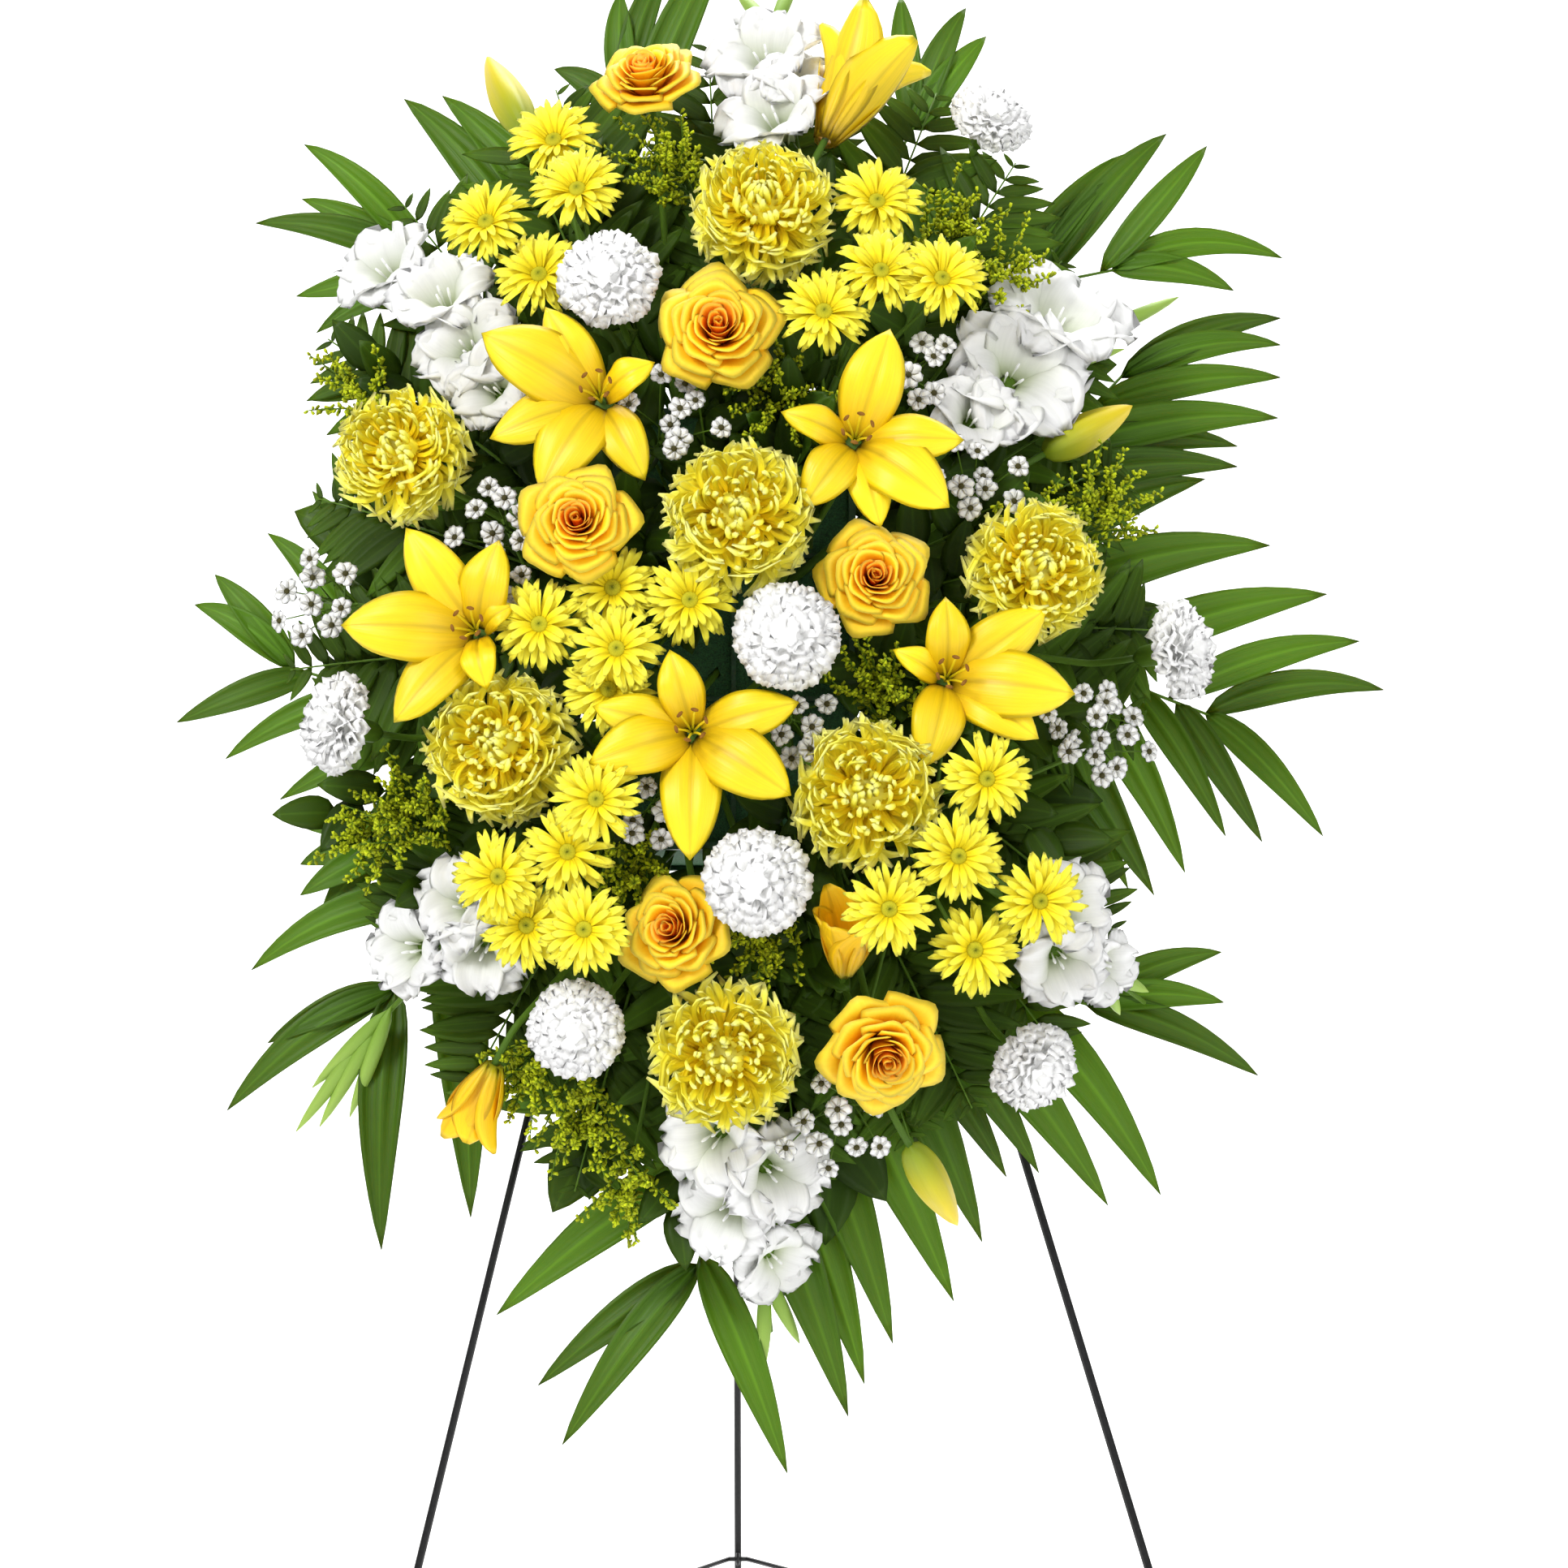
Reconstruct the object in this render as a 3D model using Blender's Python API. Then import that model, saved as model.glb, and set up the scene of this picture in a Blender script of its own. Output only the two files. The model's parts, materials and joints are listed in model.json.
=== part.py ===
"""Standing funeral spray on a folding wire easel, in metres, +Z up, facing -Y.

The easel has two front legs, a hinged back leg and a V-shaped wire spreader. A caged block of
wet foam hangs from its crossbar, and every flower, leaf spray and frond stands in the foam by
its own stem.
"""
import math
from math import cos, pi, radians, sin, sqrt

import bmesh
import bpy
from mathutils import Matrix, Vector

for old in list(bpy.data.objects):
    bpy.data.objects.remove(old)

OBJECT_NAME = "standing_funeral_spray"

# The easel: the front legs' lines meet at the apex, and the hinge bar joins them a little lower
APEX = Vector((-0.028, -0.016, 1.36))
FRONT_REACH = 0.24
BACK_REACH = 0.38
LEFT_FOOT_OUT = 0.322
RIGHT_FOOT_OUT = 0.407
HINGE_DROP = 0.075
LEG_RADIUS = 0.003
BACK_LEG_RADIUS = 0.0027
SPREADER_RADIUS = 0.0018
SPREADER_HEIGHT = 0.369
BAR_DROP = 0.150
BAR_RADIUS = 0.0025
LOOP_STAND = 0.0062
SPREADER_HOOK = 0.0080
GAP = 0.00035

LEAN = math.atan2(FRONT_REACH, APEX.z)
RIGHT = Vector((1, 0, 0))
OUT = Vector((0, -cos(LEAN), sin(LEAN)))
UP = Vector((0, sin(LEAN), cos(LEAN)))

# The photograph's viewpoint, so that each flower can be placed by the pixel it shows at
EYE = APEX + Vector((0.0296, -3.20, -0.392))
APEX_PIXEL = (915, 290)
PIXEL = 0.00058
EYE_DISTANCE = APEX.y - EYE.y

# The foam block hangs behind the middle of the spray, its back a plate's thickness off the legs
FOAM_PIXEL = (905, 790)
FOAM_WIDTH = 0.160
FOAM_HEIGHT = 0.300
FOAM_DEPTH = 0.090
PLATE = 0.0025
RIB = 0.003
WINDOWS = (2, 3, 1)
HOOKS = (-0.012, 0.026)
HOOK_WIDTH = 0.008
HOOK_THICK = 0.003
FOAM_BACK = LEG_RADIUS + PLATE + 2 * GAP

# The spray is a flat dome of flowers, in pixels across and up, and metres deep
SPRAY_PIXEL = (900, 780)
SPRAY_HALF = (590, 790)
DOME_EDGE = 0.070
DOME_RISE = 0.185
STEM_RADIUS = 0.0025
STEM_RADII = [0.9 * STEM_RADIUS, STEM_RADIUS, STEM_RADIUS]
STEM_SINK = 0.022
HOLE_RADIUS = (STEM_RADIUS + GAP) / cos(pi / 4)
FAN = (0.24, 0.32, 0.60)
LEAST_SLANT = 0.42

# Round flowers. A kind is rows of (radius, height) in shares of its size, points round a row,
# the depth of the dips between its petals, and how far back the stem begins. A flower is its
# pixel, its width in pixels, its lift off the dome, and the lean of its face where that is its own
MUM_ANGLES = (12, 32, 52, 72, 92, 112)
MUM_ROWS = [(sin(radians(a)), 0.72 * cos(radians(a))) for a in MUM_ANGLES]
MUM = (MUM_ROWS, 16, 0.80, 0.45)
MUMS = (((940, 258), 180, 0.000, None), ((495, 558), 172, 0.000, None),
        ((910, 635), 190, 0.000, None), ((1275, 702), 175, 0.000, None),
        ((615, 920), 190, -0.010, None), ((1068, 978), 190, 0.000, None),
        ((893, 1300), 190, 0.000, None))

CARNATION_ROWS = ((0.26, 0.50), (0.58, 0.42), (0.86, 0.24), (1.00, -0.04), (0.46, -0.36))
CARNATION = (CARNATION_ROWS, 12, 0.88, 0.95)
CARNATIONS = (((750, 343), 130, 0.015, None), ((970, 783), 140, 0.010, None),
              ((932, 1087), 140, 0.015, None), ((415, 893), 130, 0.000, (-1.3, 0.1)),
              ((1455, 800), 130, 0.000, (1.5, 0.1)), ((1218, 143), 90, 0.000, (0.5, 0.8)),
              ((710, 1268), 125, 0.000, None), ((1275, 1315), 120, 0.000, (0.6, -0.7)))

ROSE_ROWS = ((0.14, 0.46), (0.26, 0.30), (0.42, 0.46), (0.54, 0.28), (0.70, 0.36), (0.80, 0.12),
             (1.00, 0.12), (0.62, -0.38))
ROSE = (ROSE_ROWS, 10, 0.88, 0.90)
ROSES = (((795, 95), 125, 0.000, (-0.2, 0.7)), ((885, 405), 150, 0.000, None),
         ((712, 643), 140, 0.010, None), ((1078, 712), 135, -0.010, None),
         ((830, 1145), 135, -0.010, (-0.4, 0.0)), ((1090, 1298), 150, 0.000, (0.2, -0.7)))

# Open lilies are (middle pixel, lift, petal tip pixels)
LILIES = (
    ((735, 478), 0.010, ((593, 410), (672, 378), (807, 446), (795, 592), (665, 605), (603, 540))),
    ((1056, 531), 0.020, ((1097, 405), (962, 507), (990, 625), (1085, 650), (1170, 625), (1188, 542))),
    ((578, 770), 0.020, ((420, 770), (500, 650), (615, 665), (635, 745), (600, 850), (485, 890))),
    ((1172, 830), 0.010, ((1165, 735), (1100, 800), (1140, 945), (1280, 910), (1325, 855), (1290, 750))),
    ((852, 895), 0.010, ((825, 800), (730, 870), (725, 940), (850, 1060), (975, 980), (985, 865))),
)
TEPAL_WIDTHS = (0.20, 0.25, 0.16)
LILY_THROAT = 0.030
LILY_NECK = 0.030

# Half-open lilies are (mouth, base, lip size, lift); closed buds are (tip, base, size, lift)
HALF_OPEN = (((1080, 60), (1015, 175), 110, 0.000),
             ((1045, 1120), (1040, 1200), 90, 0.000),
             ((570, 1395), (610, 1310), 90, 0.000))
BUDS = (((600, 70), (650, 165), 42, -0.020),
        ((1395, 500), (1285, 560), 50, -0.030),
        ((1180, 1510), (1120, 1410), 40, 0.000))

# Gladiolus spikes: pixels along the stem from its root end, florets (pixel, size), closed buds
GLADIOLI = (
    (-0.020, ((1010, 320), (985, 200), (950, 20)),
     (((935, 55), 110), ((945, 130), 105)), ((905, -15), (985, -40))),
    (-0.030, ((660, 520), (575, 420), (440, 300)),
     (((465, 320), 100), ((540, 350), 105), ((570, 420), 105), ((600, 470), 90)), ()),
    (-0.030, ((1160, 560), (1240, 470), (1420, 375)),
     (((1310, 375), 140), ((1255, 455), 140), ((1205, 505), 90)), ((1430, 372), (1385, 430))),
    (-0.030, ((680, 1090), (560, 1150), (430, 1300)),
     (((590, 1180), 85), ((560, 1110), 90), ((495, 1170), 90)), ((440, 1300), (400, 1350), (375, 1390))),
    (0.010, ((1200, 1080), (1310, 1160), (1410, 1235)),
     (((1330, 1110), 90), ((1310, 1190), 90), ((1370, 1195), 70)), ((1415, 1222), (1380, 1250))),
    (-0.020, ((910, 1360), (930, 1480), (950, 1640)),
     (((870, 1410), 100), ((960, 1450), 100), ((890, 1500), 95), ((960, 1560), 90)),
     ((940, 1690), (985, 1655))),
)
FLORET_STAND = 0.034

# Daisy sprays are the pixels of the heads that share a stem
DAISY_PETALS = 9
DAISY_SPRAYS = (
    ((683, 175), (712, 235), (600, 275), (665, 340)),
    ((1080, 250), (1085, 335), (1160, 345), (1015, 385)),
    ((850, 740), (665, 770), (760, 800), (755, 725), (750, 850)),
    ((700, 1050), (615, 1080), (720, 1145), (650, 1140), (735, 985)),
    ((1215, 960), (1180, 1055), (1280, 1110), (1200, 1170), (1095, 1120)),
)
DAISY_SIZE = 120
DAISY_STEP = 0.010
DAISY_LIFTS = (-0.010, 0.000, -0.020, 0.000, 0.030)

# Goldenrod and asters: each node's clusters share one stem end in the foam
GOLDENRODS = (((1000, 450), 0.105, ((815, 190), (1190, 270), (960, 490))),
              ((690, 1130), 0.090, ((485, 990), (720, 1400))),
              ((1110, 930), 0.120, ((1370, 610), (1080, 840), (930, 1170))))
ASTERS = (((680, 760), 0.105, ((620, 640), (395, 740), (830, 510))),
          ((1150, 1010), 0.120, ((1200, 590), (1370, 910), (1030, 1390))))
FILLER_SINK = 0.020
ASTER_RADIUS = 0.0075

# Palm fronds: (proud, rachis end pixel, leaflet tips); fronds of one node share their root
PALMS = (
    ((0.020, (520, 330), ((583, 150), (545, 118), (498, 122), (375, 178), (372, 245), (315, 275),
                          (365, 365), (390, 410))),
     (0.028, (765, 115), ((683, 85), (765, -10), (830, -50), (900, -80)))),
    ((0.020, (1130, 150), ((1110, -5), (1190, 10), (1180, 92), (1215, 45), (1160, 125))),
     (0.028, (1385, 330), ((1385, 190), (1437, 165), (1487, 180), (1580, 318), (1520, 358)))),
    ((0.018, (1450, 470), ((1578, 392), (1578, 465), (1575, 515), (1525, 572))),
     (0.024, (1500, 885), ((1485, 590), (1565, 672), (1635, 732), (1675, 790), (1705, 850),
                           (1630, 1030), (1555, 1037), (1460, 1075), (1390, 1095)))),
    ((0.020, (1350, 1240), ((1505, 1173), (1508, 1235), (1550, 1325), (1430, 1472), (1365, 1485),
                            (1240, 1450), (1210, 1530))),
     (0.028, (855, 1575), ((1175, 1603), (1100, 1655), (1045, 1745), (970, 1815), (693, 1780),
                           (663, 1707), (612, 1620)))),
    ((0.020, (480, 1230), ((280, 1368), (330, 1285), (310, 1195), (470, 1540), (580, 1500))),
     (0.028, (350, 820), ((240, 745), (218, 890), (278, 935), (345, 985), (265, 708), (330, 657),
                          (385, 605))),
     (0.024, (470, 1050), ((370, 1065), (395, 1130), (375, 1020)))),
)
LEAFLET_HALF = 0.078
LEAFLET_ANGLE = radians(38)
PALM_FORK = 0.035
PALM_FORKS = ((840, 400), (985, 400), (1130, 730), (990, 1150), (680, 930))

holes = []


def seen(pixel, proud):
    """Point that shows at a pixel of the photograph and stands proud of the front legs."""
    across = (pixel[0] - APEX_PIXEL[0]) * PIXEL
    down = (pixel[1] - APEX_PIXEL[1]) * PIXEL
    ray = APEX + Vector((across, 0, -down)) - EYE
    reach = (proud - (EYE - APEX).dot(OUT)) / ray.dot(OUT)
    return EYE + ray * reach


def true_size(pixels, point):
    """Real length of a number of pixels at the depth of a point."""
    return pixels * PIXEL * (point.y - EYE.y) / EYE_DISTANCE


def dome(pixel):
    """How far the spray's surface stands proud of the legs at a pixel."""
    across = (pixel[0] - SPRAY_PIXEL[0]) / SPRAY_HALF[0]
    down = (pixel[1] - SPRAY_PIXEL[1]) / SPRAY_HALF[1]
    return DOME_EDGE + DOME_RISE * sqrt(max(0.0, 1 - across ** 2 - down ** 2))


def outward(pixel, lean=0.55):
    """The way a flower faces by default: out of the dome, more to the side near its edge."""
    across = (pixel[0] - SPRAY_PIXEL[0]) / SPRAY_HALF[0]
    down = (pixel[1] - SPRAY_PIXEL[1]) / SPRAY_HALF[1]
    far = sqrt(across ** 2 + down ** 2)
    return (OUT + (RIGHT * across - UP * down) * lean * far).normalized()


def facing_place(centre, facing, turn=0.0):
    """Matrix at a flower's heart: +Z is the way it faces, and +Y is as near upright as can be."""
    side = UP.cross(facing).normalized()
    frame = Matrix((side, facing.cross(side), facing)).transposed().to_4x4()
    frame.translation = centre
    return frame @ Matrix.Rotation(turn, 4, "Z")


def clamp(value, limit):
    return max(-limit, min(limit, value))


FOAM_CENTRE = seen(FOAM_PIXEL, FOAM_BACK + FOAM_DEPTH / 2)
FOAM_HALF = (FOAM_WIDTH / 2, FOAM_HEIGHT / 2, FOAM_DEPTH / 2)
HOLDER_AXES = (RIGHT, UP, OUT)


def from_foam(point):
    """A point's place across, up and out from the foam's middle."""
    away = point - FOAM_CENTRE
    return [away.dot(axis) for axis in HOLDER_AXES]


def in_foam(place):
    return FOAM_CENTRE + sum((axis * share for axis, share in zip(HOLDER_AXES, place)), Vector())


def slot_rows(axis):
    """Stem places along one side of the foam, three to each window of the cage."""
    count = 3 * WINDOWS[axis]
    pitch = 2 * FOAM_HALF[axis] / count
    return [pitch * (k + 0.5) - FOAM_HALF[axis] for k in range(count)]


def slot_places():
    """Every place where a stem can enter the foam, with the axis and side of its face."""
    places = []
    for normal, sides in ((2, (1,)), (0, (-1, 1)), (1, (-1, 1))):
        first, second = [axis for axis in range(3) if axis != normal]
        for side in sides:
            for a in slot_rows(first):
                for b in slot_rows(second):
                    place = [0.0, 0.0, 0.0]
                    place[first], place[second], place[normal] = a, b, side * FOAM_HALF[normal]
                    places.append((place, normal, side))
    return places


free_slots = slot_places()


def take_slot(point):
    """Free place in the foam that a flower's stem can reach, and the stem's end below it.

    The wanted place is the flower's own, drawn small, so that the stems fan out and don't cross.
    """
    away = from_foam(point)
    wanted = [clamp(share * far, half) for share, far, half in zip(FAN, away, FOAM_HALF)]

    def cost(slot):
        place, normal, side = slot
        ahead = [a - p for a, p in zip(away, place)]
        slant = side * ahead[normal] / sqrt(sum(a * a for a in ahead))
        return math.dist(place, wanted) + (1.0 if slant < LEAST_SLANT else 0.0)

    best = min(free_slots, key=cost)
    free_slots.remove(best)
    mouth = in_foam(best[0])
    inward = (mouth - point).normalized()
    holes.append((mouth - inward * 0.006, mouth + inward * (STEM_SINK + GAP)))
    return mouth + inward * STEM_SINK


# Shapes: each is a list of points and a list of triangles

def loft(rings):
    """Closed skin over rings of points. A ring of one point is a pole, and an open end is capped.

    Neighbouring rings have as many points as each other, or one has a multiple of the other's.
    Quads are split so that each cut runs from an even point to an odd one of the next ring: the
    two faces of a thin blade are then split alike.
    """
    points = [point for ring in rings for point in ring]
    starts = [sum(len(ring) for ring in rings[:k]) for k in range(len(rings))]
    triangles = []
    for k in range(len(rings) - 1):
        low, high = starts[k], starts[k + 1]
        low_count, high_count = len(rings[k]), len(rings[k + 1])
        if low_count == high_count:
            for i in range(low_count):
                j = (i + 1) % low_count
                if i % 2 == 0:
                    triangles += [(low + i, low + j, high + j), (low + i, high + j, high + i)]
                else:
                    triangles += [(low + i, low + j, high + i), (low + j, high + j, high + i)]
            continue
        many, few, many_count, few_count = low, high, low_count, high_count
        if few_count > many_count:
            many, few, many_count, few_count = few, many, few_count, many_count
        share = many_count // few_count
        for i in range(many_count):
            j = (i + 1) % many_count
            triangles.append((many + i, many + j, few + i // share))
            if few_count > 1 and j % share == 0:
                triangles.append((many + j, few + (j // share) % few_count, few + i // share))
    for start, ring in ((starts[0], rings[0]), (starts[-1], rings[-1])):
        triangles += [(start, start + i, start + i + 1) for i in range(1, len(ring) - 1)]
    return points, triangles


def prism(first, second):
    """Solid between two outlines with as many corners as each other, its flat sides left whole."""
    count = len(first)
    sides = [(i, (i + 1) % count, count + (i + 1) % count, count + i) for i in range(count)]
    return first + second, sides + [tuple(range(count)), tuple(range(count, 2 * count))]


def tube_rings(points, radii, sides, across=None, turn=0.0):
    """Rings round a line of points, square to it, the first corner towards a given direction."""
    whole = (points[-1] - points[0]).normalized()
    across = across or min((RIGHT, UP, OUT), key=lambda axis: abs(axis.dot(whole)))
    rings = []
    for k, (point, radius) in enumerate(zip(points, radii)):
        ahead = (points[min(k + 1, len(points) - 1)] - points[max(k - 1, 0)]).normalized()
        side = (across - ahead * across.dot(ahead)).normalized()
        other = side.cross(ahead)
        angles = [turn + 2 * pi * i / sides for i in range(sides)]
        rings.append([point + (side * cos(a) + other * sin(a)) * radius for a in angles])
    return rings


def rod(points, radii, sides=4):
    """Tube through points, with a radius at each, its first end drawn to a point."""
    return loft([[points[0]]] + tube_rings(points, radii, sides)[1:])


def tube(points, radii, sides=4):
    """Tube through points, with a radius at each and flat ends."""
    return loft(tube_rings(points, radii, sides))


def bend(start, middle, end, steps):
    """Points on the curve that leaves start towards middle and reaches end from it."""
    shares = [k / steps for k in range(steps + 1)]
    return [start * (1 - s) ** 2 + middle * (2 * s * (1 - s)) + end * s ** 2 for s in shares]


def blade(path, half_widths, normal, thickness, cup=0.15):
    """Leaf or petal along a path, pointed at both ends, its edges raised by a share of its width."""
    rings = [[path[0]]]
    for k, half in enumerate(half_widths):
        ahead = (path[k + 2] - path[k]).normalized()
        side = ahead.cross(normal).normalized()
        top = side.cross(ahead)
        raised = path[k + 1] + top * cup * half
        rings.append([raised - side * half, path[k + 1] + top * thickness / 2,
                      raised + side * half, path[k + 1] - top * thickness / 2])
    rings.append([path[-1]])
    return loft(rings)


def head_rings(place, radius, rows, columns, dip):
    """Rings of a round head, front first, from rows of (radius, height) in shares of its size.

    Every other point of a row is drawn in to a dip, and the next row has its dips between, so
    that the tips stand in layers.
    """
    rings = [[place @ Vector((0, 0, rows[0][1] * radius))]]
    for k, (out, high) in enumerate(rows):
        ring = []
        for i in range(columns):
            angle = 2 * pi * i / columns
            share = radius * (dip if (i + k) % 2 else 1.0)
            ring.append(place @ (Vector((cos(angle) * out, sin(angle) * out, high)) * share))
        rings.append(ring)
    return rings


def star_rings(place, radius, petals, high, notch):
    """Rings of a flat star of pointed petals, front first."""
    columns = 2 * petals
    angles = [2 * pi * i / columns for i in range(columns)]
    shares = [notch if i % 2 else 1.0 for i in range(columns)]
    lip = [place @ (Vector((cos(a) * s, sin(a) * s, 0.0)) * radius) for a, s in zip(angles, shares)]
    return [[place @ Vector((0, 0, high * radius))], lip]


def on_stem(rings, place, points, radii):
    """A head's rings carried on down its stem. The stem's corners meet the head's in equal shares.

    The last point is the stem's end: flat where the last radius says so, or a point at radius 0.
    """
    columns = len(rings[-1])
    sides = next(count for count in (4, 5, 3) if columns % count == 0)
    turn = pi * (columns // sides - 1) / columns
    across = (place.to_3x3() @ Vector((1, 0, 0))).normalized()
    down = tube_rings([place.translation] + points, [0.0] + radii, sides, across, turn)[1:]
    if radii[-1] == 0:
        down[-1] = [points[-1]]
    return loft(rings + down)


def trumpet(base, mouth, radius, lobes, turn=0.0, notch=0.68, body=0.40):
    """Flower tube from its base to a lobed lip round its mouth, hollowed down to a throat."""
    axis = mouth - base
    length = axis.length
    place = facing_place(mouth, axis.normalized(), turn)
    columns = 2 * lobes

    def ring(out, deep, low=1.0, count=columns):
        shares = [low if i % 2 else 1.0 for i in range(count)]
        angles = [2 * pi * (i + (columns / count - 1) / 2) / count for i in range(count)]
        return [place @ Vector((cos(a) * out * s, sin(a) * out * s, -deep))
                for a, s in zip(angles, shares)]

    return loft([[place @ Vector((0, 0, -0.45 * length))],
                 ring(body * 0.8 * radius, 0.22 * length),
                 ring(radius, 0.0, notch),
                 ring(body * radius, 0.42 * length),
                 ring(0.003, 0.85 * length, count=4),
                 [base]])


def spindle(base, tip, radius, sides=6):
    """Closed bud: widest a little above its base, and drawn out to its tip."""
    spots = [base.lerp(tip, share) for share in (0.06, 0.40, 0.78)]
    return loft([[base]] + tube_rings(spots, [0.45 * radius, radius, 0.62 * radius], sides) + [[tip]])


# Objects

def colour_material(name, colour, roughness, metallic=0.0):
    material = bpy.data.materials.new(name)
    material.use_nodes = True
    shader = material.node_tree.nodes["Principled BSDF"]
    shader.inputs["Base Color"].default_value = (*colour, 1.0)
    shader.inputs["Roughness"].default_value = roughness
    shader.inputs["Metallic"].default_value = metallic
    material.diffuse_color = (*colour, 1.0)
    return material


def put_in(collection, name, shape):
    """Object from a shape's points and triangles, with its faces pointing out."""
    points, triangles = shape
    mesh = bpy.data.meshes.new(name)
    mesh.from_pydata([tuple(point) for point in points], [], triangles)
    solid = bmesh.new()
    solid.from_mesh(mesh)
    bmesh.ops.recalc_face_normals(solid, faces=solid.faces)
    solid.to_mesh(mesh)
    solid.free()
    made = bpy.data.objects.new(name, mesh)
    collection.objects.link(made)
    return made


def apply_modifiers(target):
    graph = bpy.context.evaluated_depsgraph_get()
    mesh = bpy.data.meshes.new_from_object(target.evaluated_get(graph))
    target.modifiers.clear()
    target.data = mesh


def join_boolean(target, others, operation):
    """Boolean of an object with a collection of others, applied, and the others removed."""
    modifier = target.modifiers.new("join", "BOOLEAN")
    modifier.operation = operation
    modifier.operand_type = "COLLECTION"
    modifier.collection = others
    # The exact solver leaves open edges where thin petals graze each other
    modifier.solver = "MANIFOLD"
    apply_modifiers(target)
    for other in list(others.objects):
        bpy.data.objects.remove(other)
    bpy.data.collections.remove(others)


def new_collection(name):
    collection = bpy.data.collections.new(name)
    bpy.context.scene.collection.children.link(collection)
    return collection


def fuse(name, shapes, material):
    """One object from shapes that are sunk into each other."""
    made = put_in(model, name, shapes[0])
    if len(shapes) > 1:
        others = new_collection(name + "_pieces")
        for k, shape in enumerate(shapes[1:]):
            put_in(others, f"{name}_piece_{k}", shape)
        join_boolean(made, others, "UNION")
    made.data.materials.clear()
    made.data.materials.append(material)
    return made


def stem_points(base, facing, neck=0.03):
    """A stem's points: its top, straight back for its neck, and then to its hole in the foam."""
    bottom = base - facing * neck
    return [base, bottom, take_slot(bottom)]


model = new_collection(OBJECT_NAME)


# The flowers

def round_head(name, pixel, size, lift, aim, kind, material):
    """One round flower on its stem. aim is the sideways and upward lean of its face."""
    rows, columns, dip, back = kind
    centre = seen(pixel, dome(pixel) + lift)
    facing = (OUT + RIGHT * aim[0] + UP * aim[1]).normalized() if aim else outward(pixel)
    radius = true_size(size, centre) / 2
    place = facing_place(centre, facing)
    rings = head_rings(place, radius, rows, columns, dip)
    points = stem_points(centre - facing * back * radius, facing)
    fuse(name, [on_stem(rings, place, points, STEM_RADII)], material)


def make_round_heads():
    yellow = colour_material("mum_petals", (0.90, 0.80, 0.16), 0.6)
    white = colour_material("carnation_petals", (0.93, 0.93, 0.88), 0.6)
    orange = colour_material("rose_petals", (0.95, 0.52, 0.08), 0.5)
    for label, kind, flowers, material in (("mum", MUM, MUMS, yellow),
                                           ("carnation", CARNATION, CARNATIONS, white),
                                           ("rose", ROSE, ROSES, orange)):
        for k, (pixel, size, lift, aim) in enumerate(flowers):
            round_head(f"{label}_{k + 1}", pixel, size, lift, aim, kind, material)


def make_lilies():
    petals = colour_material("lily_petals", (0.93, 0.70, 0.04), 0.5)
    for k, (pixel, lift, tips) in enumerate(LILIES):
        proud = dome(pixel) + lift
        facing = outward(pixel)
        centre = seen(pixel, proud)
        throat = centre - facing * LILY_THROAT
        base = throat - facing * LILY_NECK
        place = facing_place(throat, facing)
        heart = [[centre - facing * 0.008]]
        heart += tube_rings([centre - facing * 0.014, throat], [0.004, 0.009], 6)
        shapes = [loft(heart + tube_rings([throat] + stem_points(base, facing), [0.009] + STEM_RADII, 6)[1:])]
        for i, tip_pixel in enumerate(tips):
            layer = 0.005 if i % 2 else 0.0
            tip = seen(tip_pixel, proud - 0.004 - layer)
            away = (tip - centre).normalized()
            root = throat + away * 0.003 + facing * (0.004 - layer)
            half_way = centre.lerp(tip, 0.30) + facing * (0.012 - layer)
            width = (tip - centre).length * (0.85 if i % 2 else 1.0)
            path = bend(root, half_way, tip, 4)
            shapes.append(blade(path, [w * width for w in TEPAL_WIDTHS], facing, 0.0018))
        for i in range(3):
            angle = 2 * pi * (i + 0.5) / 3
            spread = place @ Vector((cos(angle) * 0.014, sin(angle) * 0.014, LILY_THROAT + 0.016))
            root = throat + (spread - throat) * 0.1
            shapes.append(rod([root, spread], [0.0012, 0.0018], 3))
        fuse(f"lily_{k + 1}", shapes, petals)


def make_lily_buds():
    petals = colour_material("lily_bud_petals", (0.90, 0.62, 0.05), 0.5)
    for k, (mouth_pixel, base_pixel, size, lift) in enumerate(HALF_OPEN + BUDS):
        base = seen(base_pixel, dome(base_pixel) - 0.02 + lift)
        mouth = seen(mouth_pixel, dome(mouth_pixel) + 0.01 + lift)
        radius = true_size(size, base) / 2
        along = (mouth - base).normalized()
        if k < len(HALF_OPEN):
            flower = trumpet(base, mouth, radius, 6, notch=0.72, body=0.50)
        else:
            flower = spindle(base, mouth, radius)
        top, bottom, end = stem_points(base + along * 0.008, along)
        stalk = tube([top, bottom, end], STEM_RADII)
        fuse(f"lily_bud_{k + 1}", [flower, stalk], petals)


def make_gladioli():
    petals = colour_material("gladiolus_petals", (0.92, 0.94, 0.86), 0.55)
    for k, (lift, spine_pixels, florets, buds) in enumerate(GLADIOLI):
        spine = [seen(pixel, dome(pixel) + lift - FLORET_STAND) for pixel in spine_pixels]
        end = take_slot(spine[0])
        shapes = [tube([end] + spine, [STEM_RADIUS, STEM_RADIUS, 0.003, 0.0015])]
        for i, (pixel, size) in enumerate(florets):
            mouth = seen(pixel, dome(pixel) + lift)
            base = nearest_on(spine, mouth)
            radius = true_size(size, mouth) / 2
            shapes.append(trumpet(base, mouth, radius, 6, turn=0.5 * i))
        for pixel in buds:
            tip = seen(pixel, dome(pixel) + lift - 0.02)
            base = nearest_on(spine, tip)
            shapes.append(spindle(base, tip, 0.007, 4))
        fuse(f"gladiolus_{k + 1}", shapes, petals)


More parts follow.
